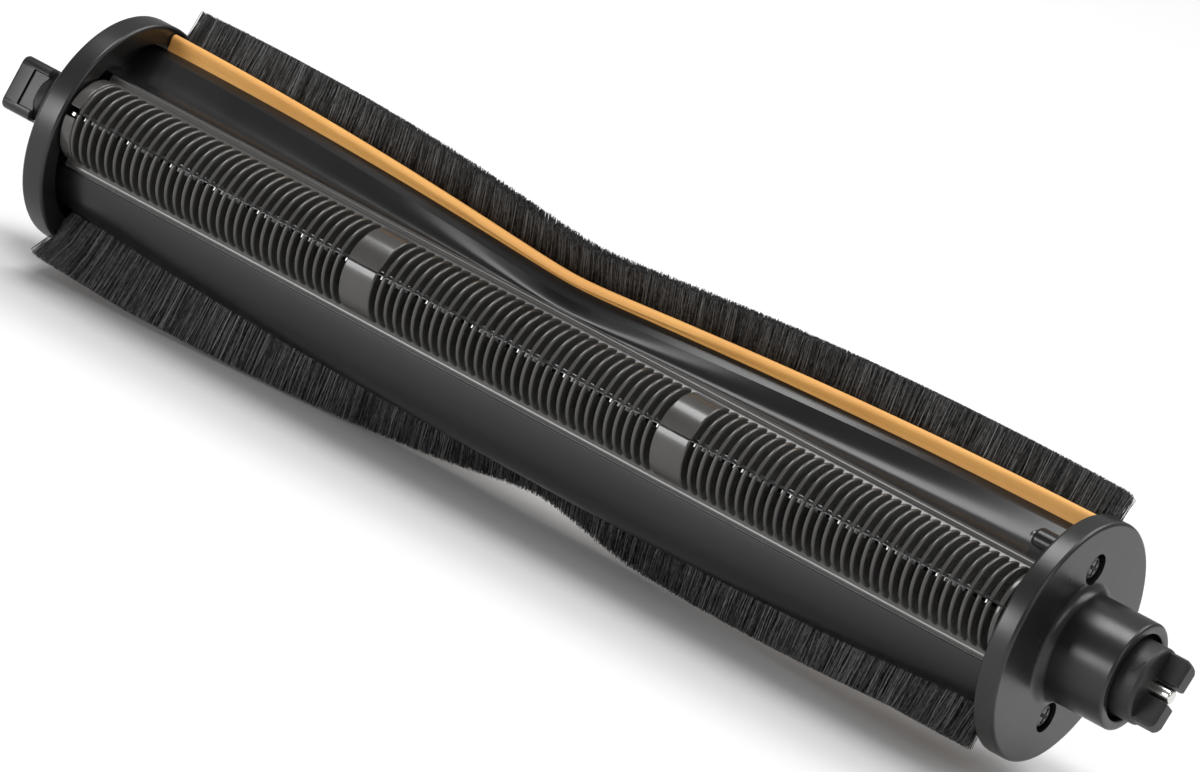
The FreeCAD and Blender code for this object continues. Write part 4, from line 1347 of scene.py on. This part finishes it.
@dataclass(frozen=True)
class SoftLight:
    """Soft area light that faces the roller, in metres and watts."""

    name: str
    place: Place
    size: tuple[float, float]
    power: float

    def build(self) -> None:
        """Put the light in the scene."""
        data = bpy.data.lights.new(self.name, "AREA")
        data.shape = "RECTANGLE"
        data.size, data.size_y = self.size
        data.energy = self.power
        light = bpy.data.objects.new(self.name, data)
        light.location = self.place
        light.rotation_mode = "QUATERNION"
        light.rotation_quaternion = (-Vector(self.place)).to_track_quat("-Z", "Y")
        bpy.context.scene.collection.objects.link(light)


@dataclass
class Studio:
    """Pale floor, soft lights and the camera."""

    lens: float = 202.0
    sensor: float = 36.0
    clip: tuple[float, float] = (0.01, 50.0)
    eye: Place = (442.65, -841.1, 0.8)
    right: Place = (0.78268, 0.40763, 0.47037)
    up: Place = (-0.41718, -0.21727, 0.88247)
    floor_half: float = 6.0
    sky: float = 0.32
    lights: tuple[SoftLight, ...] = (
        SoftLight("overhead_soft", (-0.32, -0.1, 1.1), (0.5, 0.5), 6.5),
        SoftLight("low_front_soft", (-0.6, -1.14, 0.19), (0.5, 0.36), 5.6),
        SoftLight("back_soft", (0.35, 0.75, 1.35), (1.5, 0.9), 14.0),
        SoftLight("right_soft", (1.1, -0.3, 0.7), (0.4, 0.8), 2.6),
    )

    def at_rest(self, drawn: Place) -> Vector:
        """A drawn place in metres, or a drawn direction, in the rest position."""
        return Vector(ROLLER.rest(np.array([drawn]))[0])

    def build_camera(self) -> None:
        """Camera at the photograph's viewing angle."""
        data = bpy.data.cameras.new("photo_camera")
        data.lens = self.lens
        data.sensor_width = self.sensor
        data.clip_start, data.clip_end = self.clip
        camera = bpy.data.objects.new("photo_camera", data)
        right, up = self.at_rest(self.right).normalized(), self.at_rest(self.up).normalized()
        matrix = Matrix((right, up, right.cross(up))).transposed().to_4x4()
        matrix.translation = self.at_rest(self.eye)
        camera.matrix_world = matrix
        bpy.context.scene.collection.objects.link(camera)
        bpy.context.scene.camera = camera

    def build_floor(self) -> None:
        """Plain floor under the lowest bristles."""
        mesh = bpy.data.meshes.new("pale_floor")
        far, low = self.floor_half, CAD_BOX[0].z
        corners = [(-far, -far, low), (far, -far, low), (far, far, low), (-far, far, low)]
        mesh.from_pydata(corners, [], [(0, 1, 2, 3)])
        floor = bpy.data.objects.new("pale_floor", mesh)
        PALE_FLOOR.dress(floor)
        bpy.context.scene.collection.objects.link(floor)

    def build(self) -> None:
        """Build the floor, the surroundings, the lights and the camera."""
        self.build_floor()
        world = bpy.data.worlds.new("studio")
        world.use_nodes = True
        background = world.node_tree.nodes["Background"]
        background.inputs["Color"].default_value = (*grey(1.0), 1.0)
        background.inputs["Strength"].default_value = self.sky
        bpy.context.scene.world = world
        for light in self.lights:
            light.build()
        bpy.context.scene.view_settings.view_transform = "Standard"
        self.build_camera()


def main() -> None:
    """Build every sub-assembly in order, then the studio."""
    logging.basicConfig(level=logging.INFO, format="%(name)s: %(message)s")
    DriveCap().build()
    BearingCap().build()
    for half in Half:
        CapScrew(half).build()
        CoreShell(half).build()
    ChevronStrips(Half.UPPER, seed=11).build()
    ChevronStrips(Half.LOWER, seed=23, flare=2.0, short_end=2.9, short_middle=1.0,
                  stop=1.5).build()
    CombJaw("comb_front_upper", 0.0, False).build()
    CombJaw("comb_front_lower", 0.0, True).build()
    CombJaw("comb_back_lower", 180.0, False).build()
    CombJaw("comb_back_upper", 180.0, True).build()
    Cutter().build()
    EndKey().build()
    Studio().build()


if __name__ == "__main__":
    main()
